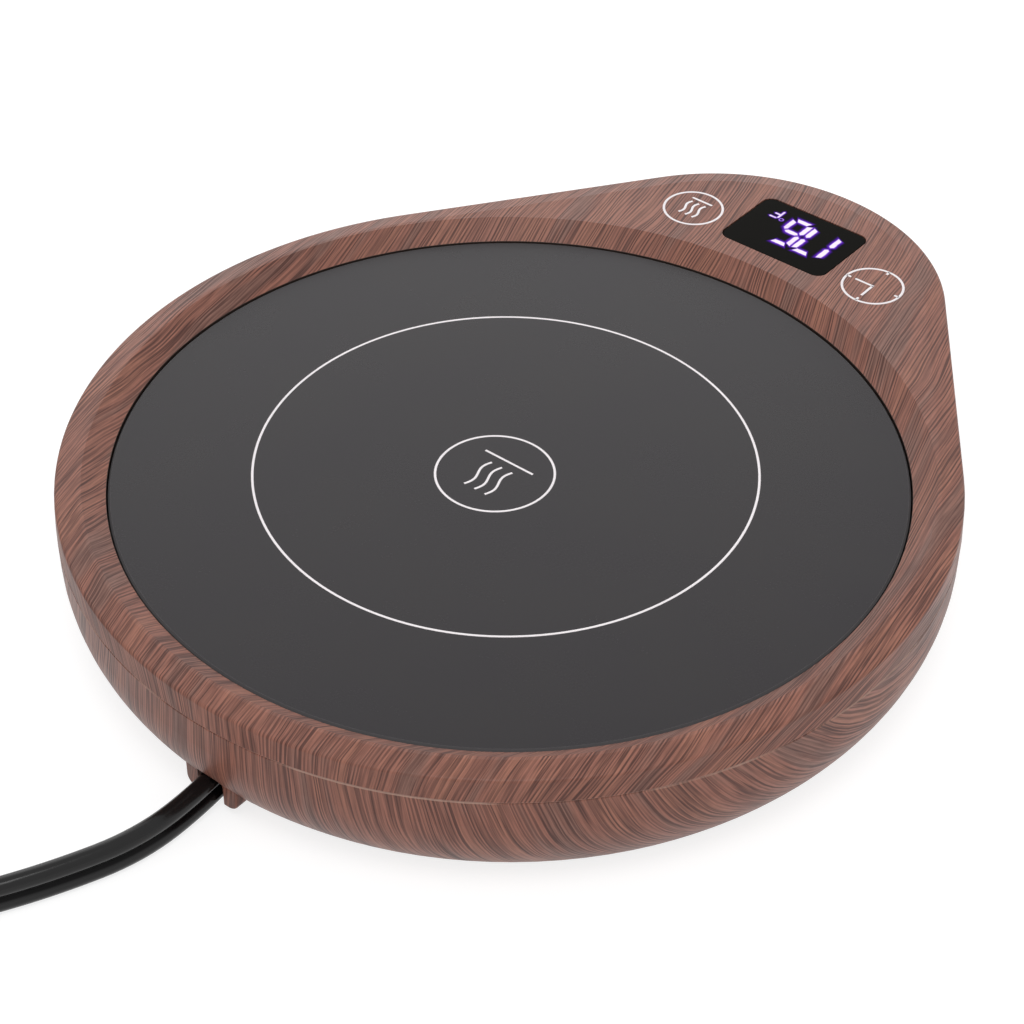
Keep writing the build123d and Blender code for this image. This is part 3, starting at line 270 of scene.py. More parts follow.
# ---- effects that finishes share ----
@node_group({VECTOR: "Vector", COLOUR: "Ground, Warm, Grey, Line", FLOAT: "Wrap, Wrap Level, Inner Radius, "
             "Inner Wrap, Grain Angle, Pitch, Shift, Strength"}, {COLOUR: "Colour", FLOAT: "Lines"})
def film_grain(given):
    """Wood film laid over a moulding from above: plan position, wrapped on over the walls."""
    def wander(place, across, along, x=0.0, y=0.0, detail=1.0, rough=0.5):
        """Slow change over the film: its scales across and along the grain, and where it starts."""
        return noise(mapped(place, (across, along, 1), (x, y, 0)), 1.0, detail, rough, "2D")

    x, y, z = split(given["Vector"])
    plan = spot(x, y)
    # nearest point of the spine between the two arc centres
    beside = sums("ABSOLUTE", x) * FLANK_TANGENT + y
    spine = node("ShaderNodeClamp", {"Value": beside, "Min": -NOSE_REACH, "Max": 0.0})
    outward = vectors("NORMALIZE", vectors("SUBTRACT", plan, spot(y=spine)))
    inside = sums("LESS_THAN", vectors("LENGTH", plan), given["Inner Radius"])
    wrap = node("ShaderNodeMix", {0: inside, 2: given["Wrap"], 3: given["Inner Wrap"]})
    laid = vectors("ADD", plan, vectors("MULTIPLY", outward, (given["Wrap Level"] - z) * wrap))
    laid = vectors("ADD", laid, spot(given["Shift"]))
    turned = node("ShaderNodeVectorRotate", {"Vector": laid, "Angle": given["Grain Angle"] * -1.0},
                  rotation_type="Z_AXIS")
    # slow wander of the grain
    sway = ((wander(turned, 0.020, 0.0125) - 0.5) * 6.0 + (wander(turned, 0.10, 0.045, 7.1, 3.3) - 0.5) * 1.2
            + (wander(turned, 0.16, 0.13, 2.3, 8.3, 0.0) - 0.5) * 0.3)
    parts = split(turned)
    across = parts[0] + sway
    grain = spot(across, parts[1])
    # lines: an uneven comb whose lines never cross, each with its own width and depth;
    # towards the nose they are more even
    even = ramp(y, -14.0, -44.0)
    jitter = wander(grain, 0.38, 0.020, 1.7, 9.1)
    fray = wander(grain, 1.25, 0.040, 2.9, 4.7, 0.0)
    phase = across / given["Pitch"] + jitter * (2.9 - even * 1.2) + fray * even * 1.1
    comb = sums("SINE", phase * (2 * pi)) * 0.5 + 0.5
    gate = ramp(wander(grain, 0.8, 0.055, 4.4, 2.2), 0.30, 0.70, 0.70, 0.36)
    line = ramp(comb - gate, -0.19, 0.19)
    line = line * ramp(wander(grain, 1.4, 0.060, 8.8, 0.3), 0.34, 0.60, even * 0.22 + 0.28)
    line = line * ramp(wander(grain, 0.24, 0.016, 5.5, 1.4), 0.30, 0.58, even * 0.15 + 0.70)
    # streaks, and fibres finer than the lines
    streak = ramp(wander(grain, 0.62, 0.022, 0.9, 5.1), 0.60, 0.74)
    hair = ramp(wander(grain, 2.8, 0.085, 6.2, 7.7, 0.0), 0.52, 0.72, 0.0, 0.62)
    thread = ramp(wander(grain, 5.0, 0.15, 3.9, 1.2, 0.0), 0.48, 0.72, 0.0, 0.40)
    lines = sums("MAXIMUM", line, streak * 0.34 + (hair + thread) * (1.0 - even * 0.6))
    # broad bands of colour
    bands = wander(grain, 0.25, 0.028, 3.3, 6.1, 2.0, 0.55)
    colour = blend_colour(ramp(bands, 0.50, 0.68), given["Ground"], given["Warm"])
    colour = blend_colour(ramp(bands, 0.48, 0.32), colour, given["Grey"])
    mottle = wander(grain, 3.0, 0.35, detail=2.0, rough=0.6)
    colour = tinted(colour, ramp(mottle, 0.2, 0.8, 0.88, 1.12))
    return {"Colour": blend_colour(lines * given["Strength"], colour, given["Line"]), "Lines": lines}


@node_group({VECTOR: "Vector", FLOAT: "Level, Width, Cover"}, {FLOAT: "Mask"})
def painted_edge_glint(given):
    """Mask of a painted glint along an edge at one level, broken up along its length."""
    away = sums("ABSOLUTE", split(given["Vector"])[2] - given["Level"])
    near = ramp(away / given["Width"], 1.0, 0.4)
    patch = noise(given["Vector"], 0.045, 2.0, 0.6) - (0.78 - given["Cover"] * 0.45)
    return {"Mask": near * node("ShaderNodeMapRange", {"Value": patch, "From Min": -0.03, "From Max": 0.06})}


SKIN = {FLOAT: "Tone, Gloss, Height"}


@node_group({VECTOR: "Vector", FLOAT: "Grain, Variation"}, SKIN)
def moulded_texture(given):
    """Fine texture of a moulding: a tone that varies a little, gloss and height."""
    fine = noise(given["Vector"], given["Grain"], 2.0, 0.6)
    cloud = noise(given["Vector"], 60.0, 3.0, 0.55)
    span = (cloud * 0.7 + fine * 0.3 - 0.5) * 2.0
    return {"Tone": span * given["Variation"] + 1.0, "Gloss": span * 0.08, "Height": fine}


@node_group({VECTOR: "Vector", FLOAT: "Line Density, Variation"}, SKIN)
def drawn_metal(given):
    """Lines left by rolling or drawing a metal, along X of the given vector."""
    fine = noise(mapped(given["Vector"], (0.04, 1.0, 1.0)), given["Line Density"], 1.0)
    span = fine + noise(given["Vector"], 90.0, 3.0, 0.6) - 1.0
    return {"Tone": span * given["Variation"] + 1.0, "Gloss": span * 0.2, "Height": fine}


@node_group({VECTOR: "Vector", FLOAT: "Spacing, Size"}, {FLOAT: "Mask"})
def fine_dust(given):
    """Sparse pale specks."""
    vector = vectors("MULTIPLY", given["Vector"], 1.0 / given["Spacing"])
    cells = node("ShaderNodeTexVoronoi", {"Vector": vector, "Scale": 1.0})
    own = node("ShaderNodeSeparateColor", {0: cells["Color"]})
    size = given["Size"] / given["Spacing"] * ramp(own[0], 0.2, 1.0)
    return {"Mask": sums("LESS_THAN", cells["Distance"], size) * own[1]}


# ---- finishes ----
def new_finish(name):
    """New material and its Object coordinates."""
    material = bpy.data.materials.new(name)
    material.use_nodes = True
    return material, node("ShaderNodeTexCoord", tree=material.node_tree)["Object"]


def coat(material, colour, rough, specular=0.5, height=None, relief=0.0, strength=0.5, others=()):
    """Feeds a material's shader, with a height whose relief is in millimetres; returns the material."""
    values = {"Base Color": colour, "Roughness": rough, "Specular IOR Level": specular, **dict(others)}
    if relief:
        values["Normal"] = node("ShaderNodeBump",
                                {"Strength": strength, "Distance": relief * MM, "Height": height})
    for key, value in values.items():
        feed(material.node_tree.nodes["Principled BSDF"].inputs[key], value)
    return material


def moulding(coordinates, grain, variation):
    return placed(moulded_texture, {"Vector": coordinates, "Grain": grain, "Variation": variation})


def in_millimetres(coordinates):
    """Object coordinates in millimetres from the plate's axis."""
    return mapped(coordinates, (1000, 1000, 1000), (0, -PLATE_Y / MM, 0))


INNER_WRAP = -0.28
EDGE_GLINT, BARE_MOULDING = (0.47, 0.31, 0.25, 1), (0.035, 0.024, 0.020, 1)
GLASS_SMEAR, GLASS_SPECK = (0.017, 0.014, 0.014, 1), (0.45, 0.44, 0.46, 1)
GROUND_EDGE, GROUND_WIDTH = (0.075, 0.072, 0.075, 1), 0.34


def wood_finish(name, wrap, level, inner, shift, glint_cover):
    """Wood film wrapped down from a level, and the other way inside a radius; a pale highlight is painted
    along its lower edge.
    """
    settings = bpy.context.scene.mug_housing
    material, coordinates = new_finish(name)
    place = in_millimetres(coordinates)
    grain = placed(film_grain, {
        "Vector": place, "Wrap": wrap, "Wrap Level": level / MM, "Inner Radius": inner,
        "Inner Wrap": INNER_WRAP, "Grain Angle": settings.angle, "Pitch": settings.pitch, "Shift": shift,
        "Strength": settings.strength, "Ground": settings.ground[:], "Warm": settings.warm[:],
        "Grey": settings.grey[:], "Line": settings.line[:]})
    # painted highlight: a pale glint along the chamfer at the parting line, broken into patches
    edge = placed(painted_edge_glint, {"Vector": place, "Level": PARTING_Z / MM, "Width": 0.24, "Cover": glint_cover})
    colour = blend_colour(edge * 0.75, grain["Colour"], EDGE_GLINT)
    # the film ends at the bore
    bare = sums("LESS_THAN", from_axis(place), BORE_RADIUS if inner else 0.0)
    skin = moulding(coordinates, 1800, 0.1)
    lines = grain["Lines"]
    return coat(material, blend_colour(bare, colour, BARE_MOULDING), lines * 0.06 + skin["Gloss"] + 0.40,
                0.30, lines * -0.5 + skin["Height"], 0.012, 0.6)


def glass_finish(name):
    """Black glass, a little smeared, with dust and a ground edge."""
    settings = bpy.context.scene.mug_plate
    material, coordinates = new_finish(name)
    place = in_millimetres(coordinates)
    dust = placed(fine_dust, {"Vector": place, "Spacing": 9.0, "Size": 0.22})
    smear = ramp(noise(place, 0.06, 2.0), 0.3, 0.7, 0.0, 0.35)
    colour = blend_colour(dust * 0.6, blend_colour(smear, settings.glass[:], GLASS_SMEAR), GLASS_SPECK)
    ground = sums("GREATER_THAN", from_axis(place), PLATE_RADIUS / MM - GROUND_WIDTH)
    skin = moulding(coordinates, 3000, 0.1)
    return coat(material, blend_colour(ground, colour, GROUND_EDGE), ground * 0.3 + skin["Gloss"] + 0.26,
                0.27, skin["Height"], 0.004)


def lit_finish(name):
    """Segments: the 'glow' attribute runs from 0 at the halo's edge to 1 at the core."""
    settings = bpy.context.scene.mug_display
    material, coordinates = new_finish(name)
    uneven = ramp(noise(coordinates, 900, 2.0), 0.3, 0.7, 0.88, 1.08)
    glow = node("ShaderNodeAttribute", tree=material.node_tree, attribute_name="glow")["Fac"] * uneven
    colour = blend_colour(sums("POWER", ramp(glow, 0.0, 0.60), 2.8), (0, 0, 0, 1), settings.glow[:])
    colour = blend_colour(ramp(glow, 0.50, 0.84), colour, (0.74, 0.48, 0.98, 1))
    colour = blend_colour(ramp(glow, 0.66, 1.0), colour, settings.lit[:])
    return coat(material, tinted(settings.window[:], uneven), 0.4, 0.015,
                others={"Emission Color": colour, "Emission Strength": 1.0})


def moulded_finish(name, colour, rough, grain=2500, variation=0.2, relief=0.01, specular=0.5):
    """Plastic, rubber or ink."""
    material, coordinates = new_finish(name)
    skin = moulding(coordinates, grain, variation)
    return coat(material, tinted((*colour, 1), skin), skin["Gloss"] + rough, specular, skin["Height"],
                relief, 0.7)


def ink_finish(name):
    """Printed marks."""
    return moulded_finish(name, bpy.context.scene.mug_plate.ink[:3], 0.55, 9000, 0.12, 0.0)


def metal_finish(name, colour, rough, density=6000, variation=0.2, turn=0.0):
    """Drawn, rolled or plated metal."""
    material, coordinates = new_finish(name)
    skin = placed(drawn_metal, {"Vector": mapped(coordinates, (1, 1, 1), turn=turn), "Line Density": density,
                                "Variation": variation})
    return coat(material, tinted((*colour, 1), skin), skin["Gloss"] + rough, 0.5, skin["Height"], 0.004,
                others={"Metallic": 1.0})


def fibre_finish(name, colour, rough, size, relief):
    """Pressed fibre or open foam, with cells of a size in millimetres."""
    material, coordinates = new_finish(name)
    cells = node("ShaderNodeTexVoronoi", {"Vector": coordinates, "Scale": 1.0 / (size * MM)})
    tangle = noise(coordinates, 1.0 / (3 * size * MM), 4.0, 0.7)
    return coat(material, tinted((*colour, 1), cells * 0.35 + tangle * 0.4 + 0.62), tangle * 0.1 + rough, 0.3,
                cells + tangle, relief, 0.9)


def board_finish(name):
    """Circuit board: tracks and pads under the solder mask."""
    material, coordinates = new_finish(name)
    place = in_millimetres(coordinates)
    tracks = node("ShaderNodeTexBrick", {"Vector": place, "Scale": 1.0, "Brick Width": 6.4, "Row Height": 1.6,
                                         "Mortar Size": 0.22, "Mortar Smooth": 0.1})["Fac"]
    pads = node("ShaderNodeTexVoronoi", {"Vector": place, "Scale": 0.3, "Randomness": 0.6})
    pad = sums("LESS_THAN", pads, 0.17)
    mask = blend_colour(tracks, (0.02, 0.13, 0.045, 1), (0.036, 0.208, 0.0675, 1))
    return coat(material, blend_colour(pad, mask, (0.62, 0.60, 0.55, 1)), tracks * -0.08 + 0.36, 0.5,
                tracks + pad, 0.03, 0.6, {"Metallic": pad})


def film_heater_finish(name):
    """Amber film with the meander of its etched element showing through."""
    material, coordinates = new_finish(name)
    rings = node("ShaderNodeTexWave", {"Vector": in_millimetres(coordinates), "Scale": 0.16},
                 wave_type="RINGS", rings_direction="Z")["Fac"]
    track = ramp(rings, 0.45, 0.62)
    skin = moulding(coordinates, 1500, 0.2)
    film = blend_colour(track, (0.62, 0.30, 0.06, 1), (0.30, 0.13, 0.04, 1))
    return coat(material, tinted(film, skin), skin["Gloss"] + 0.3, 0.5, track, 0.03, 0.7)


def ribbon_finish(name):
    """Grey ribbon with a groove between its cores."""
    material, coordinates = new_finish(name)
    cores = node("ShaderNodeTexWave", {"Vector": mapped(coordinates, (1000, 0, 0)), "Scale": 0.31},
                 wave_type="BANDS", bands_direction="X")["Fac"]
    return coat(material, tinted((0.45, 0.45, 0.46, 1), cores * 0.35 + 0.75), 0.5, 0.5, cores, 0.2, 0.8)


def jacket_finish(name):
    """Cord jacket: fine drawing lines along it, a little dust, and painted shade in the groove between the
    cores, where it reflects less.
    """
    material, coordinates = new_finish(name)
    run = node("ShaderNodeUVMap", tree=material.node_tree, uv_map="run")
    drawn = noise(mapped(run, (24.0, 35.0, 1)), 1.0, 2.0, 0.6)
    cloud = noise(coordinates, 300, 3.0, 0.6)
    dust = placed(fine_dust, {"Vector": mapped(coordinates, (1000, 1000, 1000)), "Spacing": 3.0, "Size": 0.1})
    colour = tinted(bpy.context.scene.mug_cord.jacket[:], drawn * 0.6 + cloud * 0.5 + 0.45)
    # the two grooves lie half a turn apart, where this is near 0 or 1
    around = sums("FRACT", split(run) * 2.0)
    # painted shade: the grooves between the cores reflect less, which stands in for the shade in the crease
    groove = ramp(sums("ABSOLUTE", around - 0.474), 0.37, 0.42)
    return coat(material, blend_colour(dust * 0.25, colour, (0.3, 0.3, 0.3, 1)), cloud * 0.10 + 0.13,
                groove * -0.24 + 0.34, drawn, 0.03)


def strap_finish(name):
    """Woven strap."""
    material, coordinates = new_finish(name)
    weave = node("ShaderNodeTexBrick", {
        "Vector": mapped(coordinates, (1000, 1000, 1000), turn=radians(45)), "Scale": 2.2, "Mortar Size": 0.1,
        "Brick Width": 1.1, "Row Height": 0.7, "Color1": (0.9, 0.9, 0.9, 1), "Color2": (0.6, 0.6, 0.6, 1),
        "Mortar": (0.2, 0.2, 0.2, 1)})
    fuzz = noise(coordinates, 4000, 3.0, 0.7)
    base = blend_colour(1.0, weave, (0.05, 0.05, 0.05, 1), "MULTIPLY")
    return coat(material, tinted(base, fuzz * 0.8 + 0.4), 0.85, 0.5, fuzz - weave["Fac"], 0.12, 0.8)


def dress(slot_name, material, *nodes):
    """Gives CAD nodes their finish."""
    for name in nodes:
        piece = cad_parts[name]
        piece.data.materials.clear()
        piece.data.materials.append(material)


# ---- geometry trees ----
def new_object(name, data):
    made = bpy.data.objects.new(name, data)
    bpy.context.scene.collection.objects.link(made)
    return made


def straight(start, end):
    return node("GeometryNodeCurvePrimitiveLine", {"Start": start, "End": end})


def ring_line(given, sides=96):
    return node("GeometryNodeCurvePrimitiveCircle", {"Resolution": sides, "Radius": given["Ring Radius"]})


def finished(geometry, given):
    """Ends a tree: real geometry with its material."""
    real = node("GeometryNodeRealizeInstances", {"Geometry": geometry})
    return {"Geometry": node("GeometryNodeSetMaterial", {"Geometry": real, "Material": given["Material"]})}


def inked(given, *curves):
    """Lays ink of one width and thickness along curves, at a place on the part."""
    joined = node("GeometryNodeJoinGeometry", {0: curves[0]})
    for curve in curves[1:]:
        feed(joined.socket.node.inputs[0], curve)
    flat = node("GeometryNodeSetCurveNormal", {"Curve": joined}, mode="Z_UP")
    band = node("GeometryNodeCurvePrimitiveQuadrilateral",
                {"Width": given["Line Width"], "Height": given["Ink Thickness"]})
    stroke = node("GeometryNodeCurveToMesh", {"Curve": flat, "Profile Curve": band, "Fill Caps": True})
    return finished(node("GeometryNodeTransform", {"Geometry": stroke, "Translation": given["Place"]}), given)


GEOMETRY = ({SHAPE: "Geometry"}, "GeometryNodeTree")
INK = {VECTOR: "Place", MATERIAL: "Material"}
INK_SIZES = "Ring Radius, Line Width, Ink Thickness"


@node_group({**INK, FLOAT: INK_SIZES}, *GEOMETRY)
def printed_ring(given):
    """One printed ring."""
    return inked(given, ring_line(given, 160))


@node_group({**INK, COUNT: "Wave Count", FLOAT: INK_SIZES + ", Wave Pitch, Wave Length, Wave Sway, "
             "Wave Rise, Bar Length, Bar Drop"}, *GEOMETRY)
def heat_mark(given):
    """Heat mark: rising waves over a bar, in a ring."""
    half, rise = given["Wave Length"] * 0.5, given["Wave Rise"]
    fine = node("GeometryNodeResampleCurve", {"Curve": straight(spot(y=rise - half), spot(y=rise + half)),
                                              "Count": 25})
    run = node("GeometryNodeSplineParameter", tree=given.tree)["Factor"]
    swing = sums("SINE", run * (2 * pi)) * given["Wave Sway"]
    wave = node("GeometryNodeSetPosition", {"Geometry": fine, "Offset": spot(swing)})
    first = (given["Wave Count"] - 1.0) * given["Wave Pitch"] * -0.5
    row = node("GeometryNodeMeshLine", {"Count": given["Wave Count"], "Start Location": spot(first),
                                        "Offset": spot(given["Wave Pitch"])})
    waves = node("GeometryNodeInstanceOnPoints", {"Points": row, "Instance": wave})
    waves = node("GeometryNodeRealizeInstances", {"Geometry": waves})
    reach, drop = given["Bar Length"] * 0.5, given["Bar Drop"] * -1.0
    return inked(given, ring_line(given), waves, straight(spot(reach * -1.0, drop), spot(reach, drop)))


@node_group({**INK, COUNT: "Tick Count", FLOAT: INK_SIZES + ", Tick Length, Hand Length"}, *GEOMETRY)
def timer_mark(given):
    """Timer mark: a clock face with ticks and two hands."""
    rim, hand = given["Ring Radius"], given["Hand Length"]
    tick = straight(spot(rim - given["Tick Length"]), spot(rim))
    spots = node("GeometryNodeMeshLine", {"Count": given["Tick Count"], "Offset": (0, 0, 0)})
    part = 2 * pi / given["Tick Count"]
    turn = spot(z=node("GeometryNodeInputIndex", tree=given.tree) * part)
    ticks = node("GeometryNodeInstanceOnPoints", {"Points": spots, "Instance": tick, "Rotation": turn})
    ticks = node("GeometryNodeRealizeInstances", {"Geometry": ticks})
    hour = straight(spot(given["Line Width"] * -0.5), spot(hand))
    return inked(given, ring_line(given), ticks, hour, straight((0, 0, 0), spot(y=hand)))


@node_group({SHAPE: "Points", OBJECT: "Pattern", COUNT: "Turn Seed", MATERIAL: "Material"}, *GEOMETRY)
def set_of_pieces(given):
    """One pattern piece set at every point, each with its own turn."""
    pattern = node("GeometryNodeObjectInfo", {"Object": given["Pattern"]})["Geometry"]
    turn = node("FunctionNodeRandomValue", {"Min": (0, 0, 0), "Max": (0, 0, 2 * pi),
                                            "Seed": given["Turn Seed"]}, data_type="FLOAT_VECTOR")
    return finished(node("GeometryNodeInstanceOnPoints", {"Points": given["Points"], "Instance": pattern,
                                                          "Rotation": turn}), given)


def evaluated_mesh(piece):
    """Plain mesh of an object as its modifiers leave it."""
    bpy.context.view_layer.update()
    return bpy.data.meshes.new_from_object(piece.evaluated_get(bpy.context.evaluated_depsgraph_get()))


def run_tree(name, tree, values, mesh=None):
    """Runs a tree on a new object, keeps the result as a plain mesh and takes the modifier off."""
    piece = new_object(name, mesh or bpy.data.meshes.new(name))
    modifier = piece.modifiers.new(tree.name, "NODES")
    modifier.node_group = tree
    for item in tree.interface.items_tree:
        if item.name in values:
            modifier[item.identifier] = values[item.name]
    plain = evaluated_mesh(piece)
    piece.modifiers.remove(modifier)
    piece.data = plain
    plain.name = name
    return piece


# ---- mesh helpers ----
def skin_over(shape, rings, capped=True):
    """Faces from each ring of vertices to the next, where a ring of one vertex is a pole, and two caps."""
    for low, high in zip(rings, rings[1:]):
        sides = max(len(low), len(high))
        for k in range(sides):
            n = (k + 1) % sides
            corners = (low[k % len(low)], low[n % len(low)], high[n % len(high)], high[k % len(high)])
            shape.faces.new(list(dict.fromkeys(corners)))
    if capped:
        shape.faces.new(rings[0][::-1])
        shape.faces.new(rings[-1])


def keep_mesh(name, shape, material=None):
    """Object from a bmesh, at the origin."""
    bmesh.ops.recalc_face_normals(shape, faces=shape.faces)
    mesh = bpy.data.meshes.new(name)
    shape.to_mesh(mesh)
    shape.free()
    if material:
        mesh.materials.append(material)
    return new_object(name, mesh)


def smooth_by_angle(piece, degrees):
    piece.data.shade_smooth()
    piece.data.set_sharp_from_angle(angle=radians(degrees))


def circle(radius, sides):
    """Points round the origin, or the origin alone where there is no radius."""
    turns = [2 * pi * k / sides for k in range(sides if radius else 1)]
    return [(radius * cos(turn), radius * sin(turn)) for turn in turns]


def lathe(profile, sides):
    """Solid of revolution about Z from (radius, height) points, bottom to top, with a pole at each end."""
    shape = bmesh.new()
    skin_over(shape, [[shape.verts.new((*point, height)) for point in circle(radius, sides)]
                      for radius, height in profile], capped=False)
    return shape


def solids_of(name):
    """Lowest and highest corner of each separate solid of a CAD node."""
    shape = bmesh.new()
    shape.from_mesh(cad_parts[name].data)
    bmesh.ops.remove_doubles(shape, verts=shape.verts, dist=1e-6)
    left, boxes = set(shape.verts), []
    while left:
        solid, edge = [], [left.pop()]
        while edge:
            vert = edge.pop()
            solid.append(vert.co)
            near = {link.other_vert(vert) for link in vert.link_edges} & left
            left -= near
            edge += near
        boxes.append([Vector([pick(co[axis] for co in solid) for axis in range(3)]) for pick in (min, max)])
    shape.free()
    return sorted(boxes, key=lambda box: (box[0].y, box[0].x))


def ride(piece, slot_name, *replaced):
    """Puts a finished piece on the part."""
    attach(piece, "root")
    if replaced:
        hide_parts(*replaced)
    return piece


# ---- housing ----
class MUG_OT_housing(bpy.types.Operator):
    """Give the two mouldings their wood film"""
    bl_idname = "mug_warmer.housing"
    bl_label = "Housing"

    def execute(self, context):
        dress("cover_wood", wood_finish("cover wood film", 0.92, DECK_Z, RIM_INSIDE, 0.0, 0.95), "top_cover")
        dress("case_wood", wood_finish("case wood film", -0.62, BASE_Z, 0.0, 23.0, 0.6), "bottom_case")
        return {"FINISHED"}


# ---- printed marks ----
def print_mark(name, tree, place, ink, slot_name, radius, line, thickness, sizes=()):
    """Prints a mark on the part; sizes are in millimetres, apart from counts, which are whole numbers."""
    values = {key: size if isinstance(size, int) else size * MM for key, size in dict(sizes).items()}
    values.update({"Ring Radius": radius, "Line Width": line, "Ink Thickness": thickness * MM, "Place": place,
                   "Material": ink})
    ride(run_tree(name, tree, values), slot_name)


PLATE_MARK = {"Wave Count": 3, "Wave Pitch": 1.9, "Wave Length": 6.2, "Wave Sway": 0.42, "Wave Rise": 1.5,
              "Bar Length": 8.8, "Bar Drop": 3.2}
HEAT_MARK = {"Wave Count": 3, "Wave Pitch": 1.3, "Wave Length": 3.9, "Wave Sway": 0.3, "Wave Rise": 0.35,
             "Bar Length": 3.9, "Bar Drop": 2.5}
TIMER_MARK = {"Tick Count": 4, "Tick Length": 0.78, "Hand Length": 3.2}


class MUG_OT_plate(bpy.types.Operator):
    """Finish the warming plate and print its ring and heat mark"""
    bl_idname = "mug_warmer.plate"
    bl_label = "Warming Plate"

    def execute(self, context):
        settings = context.scene.mug_plate
        dress("black_glass", glass_finish("black glass"), "glass_plate")
        ink, level = ink_finish("plate ink"), PLATE_TOP_Z / MM
        print_mark("plate_ring", printed_ring(), at(0.6, 0.1, level), ink, "black_glass",
                   settings.ring_radius, settings.ring_line, 0.04)
        print_mark("plate_heat_mark", heat_mark(), at(0.6, 2.6, level), ink, "black_glass",
                   8.6 * MM, 0.36 * MM, 0.04, PLATE_MARK)
        return {"FINISHED"}


class MUG_OT_touch_marks(bpy.types.Operator):
    """Print the heat and timer marks over the touch pads"""
    bl_idname = "mug_warmer.touch_marks"
    bl_label = "Touch Marks"

    def execute(self, context):
        settings = context.scene.mug_plate
        ink = ink_finish("deck ink")
        for name, tree, x, sizes in (("heat_touch_mark", heat_mark(), TOUCH_X, HEAT_MARK),
                                     ("timer_touch_mark", timer_mark(), -TOUCH_X, TIMER_MARK)):
            print_mark(name, tree, Vector((x, TOUCH_Y, DECK_Z - 0.006 * MM)), ink, "cover_wood",
                       settings.touch_ring, settings.mark_line, 0.03, sizes)
        return {"FINISHED"}


# ---- display, millimetres from the plate's axis ----
SEGMENTS = {"0": "abcdef", "1": "bc", "2": "abged", "3": "abgcd", "4": "fgbc", "5": "afgcd", "6": "afgedc",
            "7": "abc", "8": "abcdefg", "9": "abcdfg"}
# the corners a segment runs between, as column and row from the lower left, and the leans of its ends
BARS = {"a": ((0, 2), (1, 2), 1, 1), "g": ((0, 1), (1, 1), 0, 0), "d": ((0, 0), (1, 0), -1, -1),
        "f": ((0, 1), (0, 2), 0, 1), "b": ((1, 1), (1, 2), 0, -1), "e": ((0, 0), (0, 1), 1, 0),
        "c": ((1, 0), (1, 1), -1, 0)}
DIGIT_LEFTS, DIGIT_WIDTH, DIGIT_ROWS = (-9.30, -4.70, -0.50), 3.0, (-76.1, -72.55, -69.0)
SEGMENT_HALF, SEGMENT_HALO, SEGMENT_GAP = 0.50, 0.95, 0.12
STEM, ARM, MARK_TOP, MARK_BOTTOM, MARK_CROSS = 5.15, 6.75, -74.55, -76.95, -75.702
MARK_BARS = (((STEM, MARK_BOTTOM), (STEM, MARK_TOP)), ((STEM, MARK_TOP), (ARM, MARK_TOP)),
             ((STEM, MARK_CROSS), (ARM - 0.35, MARK_CROSS)))


def lit_shape(shape, glow, levels, bright, closed=False):
    """Low shape from outlines, each with its glow and its height over the window."""
    rings = []
    for outline, value, lift in levels:
        rings.append([shape.verts.new(at(*point, LENS_TOP_Z / MM + lift)) for point in outline])
        for vert in rings[-1]:
            vert[glow] = value * bright
    skin_over(shape, rings + rings[:1] if closed else rings, not closed)


def lit_bar(shape, glow, start, end, half, halo, leans=(0, 0), bright=1.0):
    """One lit segment: a low frustum, brightest along its middle, whose ends come to a point.

    A lean of 1 or -1 puts that end's point on the left or right side of the way it runs."""
    way = (end - start).normalized()
    side = Vector((-way.y, way.x))
    levels = []
    for grow, value, lift in ((halo, 0.0, -0.010), (halo * 0.45, 0.28, 0.004), (0.0, 0.55, 0.010),
                              (-half * 0.45, 1.0, 0.016)):
        wide, outline = half + grow, []
        for tip, inward, turn, lean in ((start, way, side, leans[0]), (end, -way, -side, leans[1])):
            tip = tip - inward * grow * (1.0 if lean else 1.414)
            shoulder = tip + inward * wide
            outline += [shoulder - turn * wide, tip + side * lean * wide, shoulder + turn * wide]
        levels.append((outline, value, lift))
    lit_shape(shape, glow, levels, bright)


def lit_ring(shape, glow, centre, radius, half, halo, bright):
    """Degree ring, as a low closed band."""
    levels = ((radius + half + halo, 0.0, -0.010), (radius + half, 0.5, 0.008), (radius, 0.95, 0.016),
              (radius - half, 0.5, 0.008), (max(radius - half - halo, radius * 0.1), 0.12, -0.010))
    lit_shape(shape, glow, [([(centre[0] + x, centre[1] + y) for x, y in circle(reach, 28)], value, lift)
                            for reach, value, lift in levels], bright, closed=True)


class MUG_OT_display(bpy.types.Operator):
    """Finish the smoked window and light its digits"""
    bl_idname = "mug_warmer.display"
    bl_label = "Display"

    def execute(self, context):
        settings = context.scene.mug_display
        window = moulded_finish("smoked window", settings.window[:3], 0.32, 3000, 0.2, 0.0, 0.02)
        dress("smoked_window", window, "display_window")
        shape = bmesh.new()
        glow = shape.verts.layers.float.new("glow")
        for index, digit in enumerate(settings.reading[:3]):
            # a leading digit other than 1 stands 1 mm further in
            left = DIGIT_LEFTS[index] + (1.0 if index == 0 and digit != "1" else 0.0)
            for key in SEGMENTS[digit]:
                start, end = (Vector((left + column * DIGIT_WIDTH, DIGIT_ROWS[row]))
                              for column, row in BARS[key][:2])
                gap = (end - start).normalized() * SEGMENT_GAP
                lit_bar(shape, glow, start + gap, end - gap, SEGMENT_HALF, SEGMENT_HALO, BARS[key][2:])
        for start, end in MARK_BARS:
            lit_bar(shape, glow, Vector(start), Vector(end), 0.22, 0.46, bright=0.88)
        lit_ring(shape, glow, (4.35, -74.6), 0.34, 0.13, 0.24, 0.82)
        ride(keep_mesh("display_digits", shape, lit_finish("lit segments")), "display_housing")
        return {"FINISHED"}


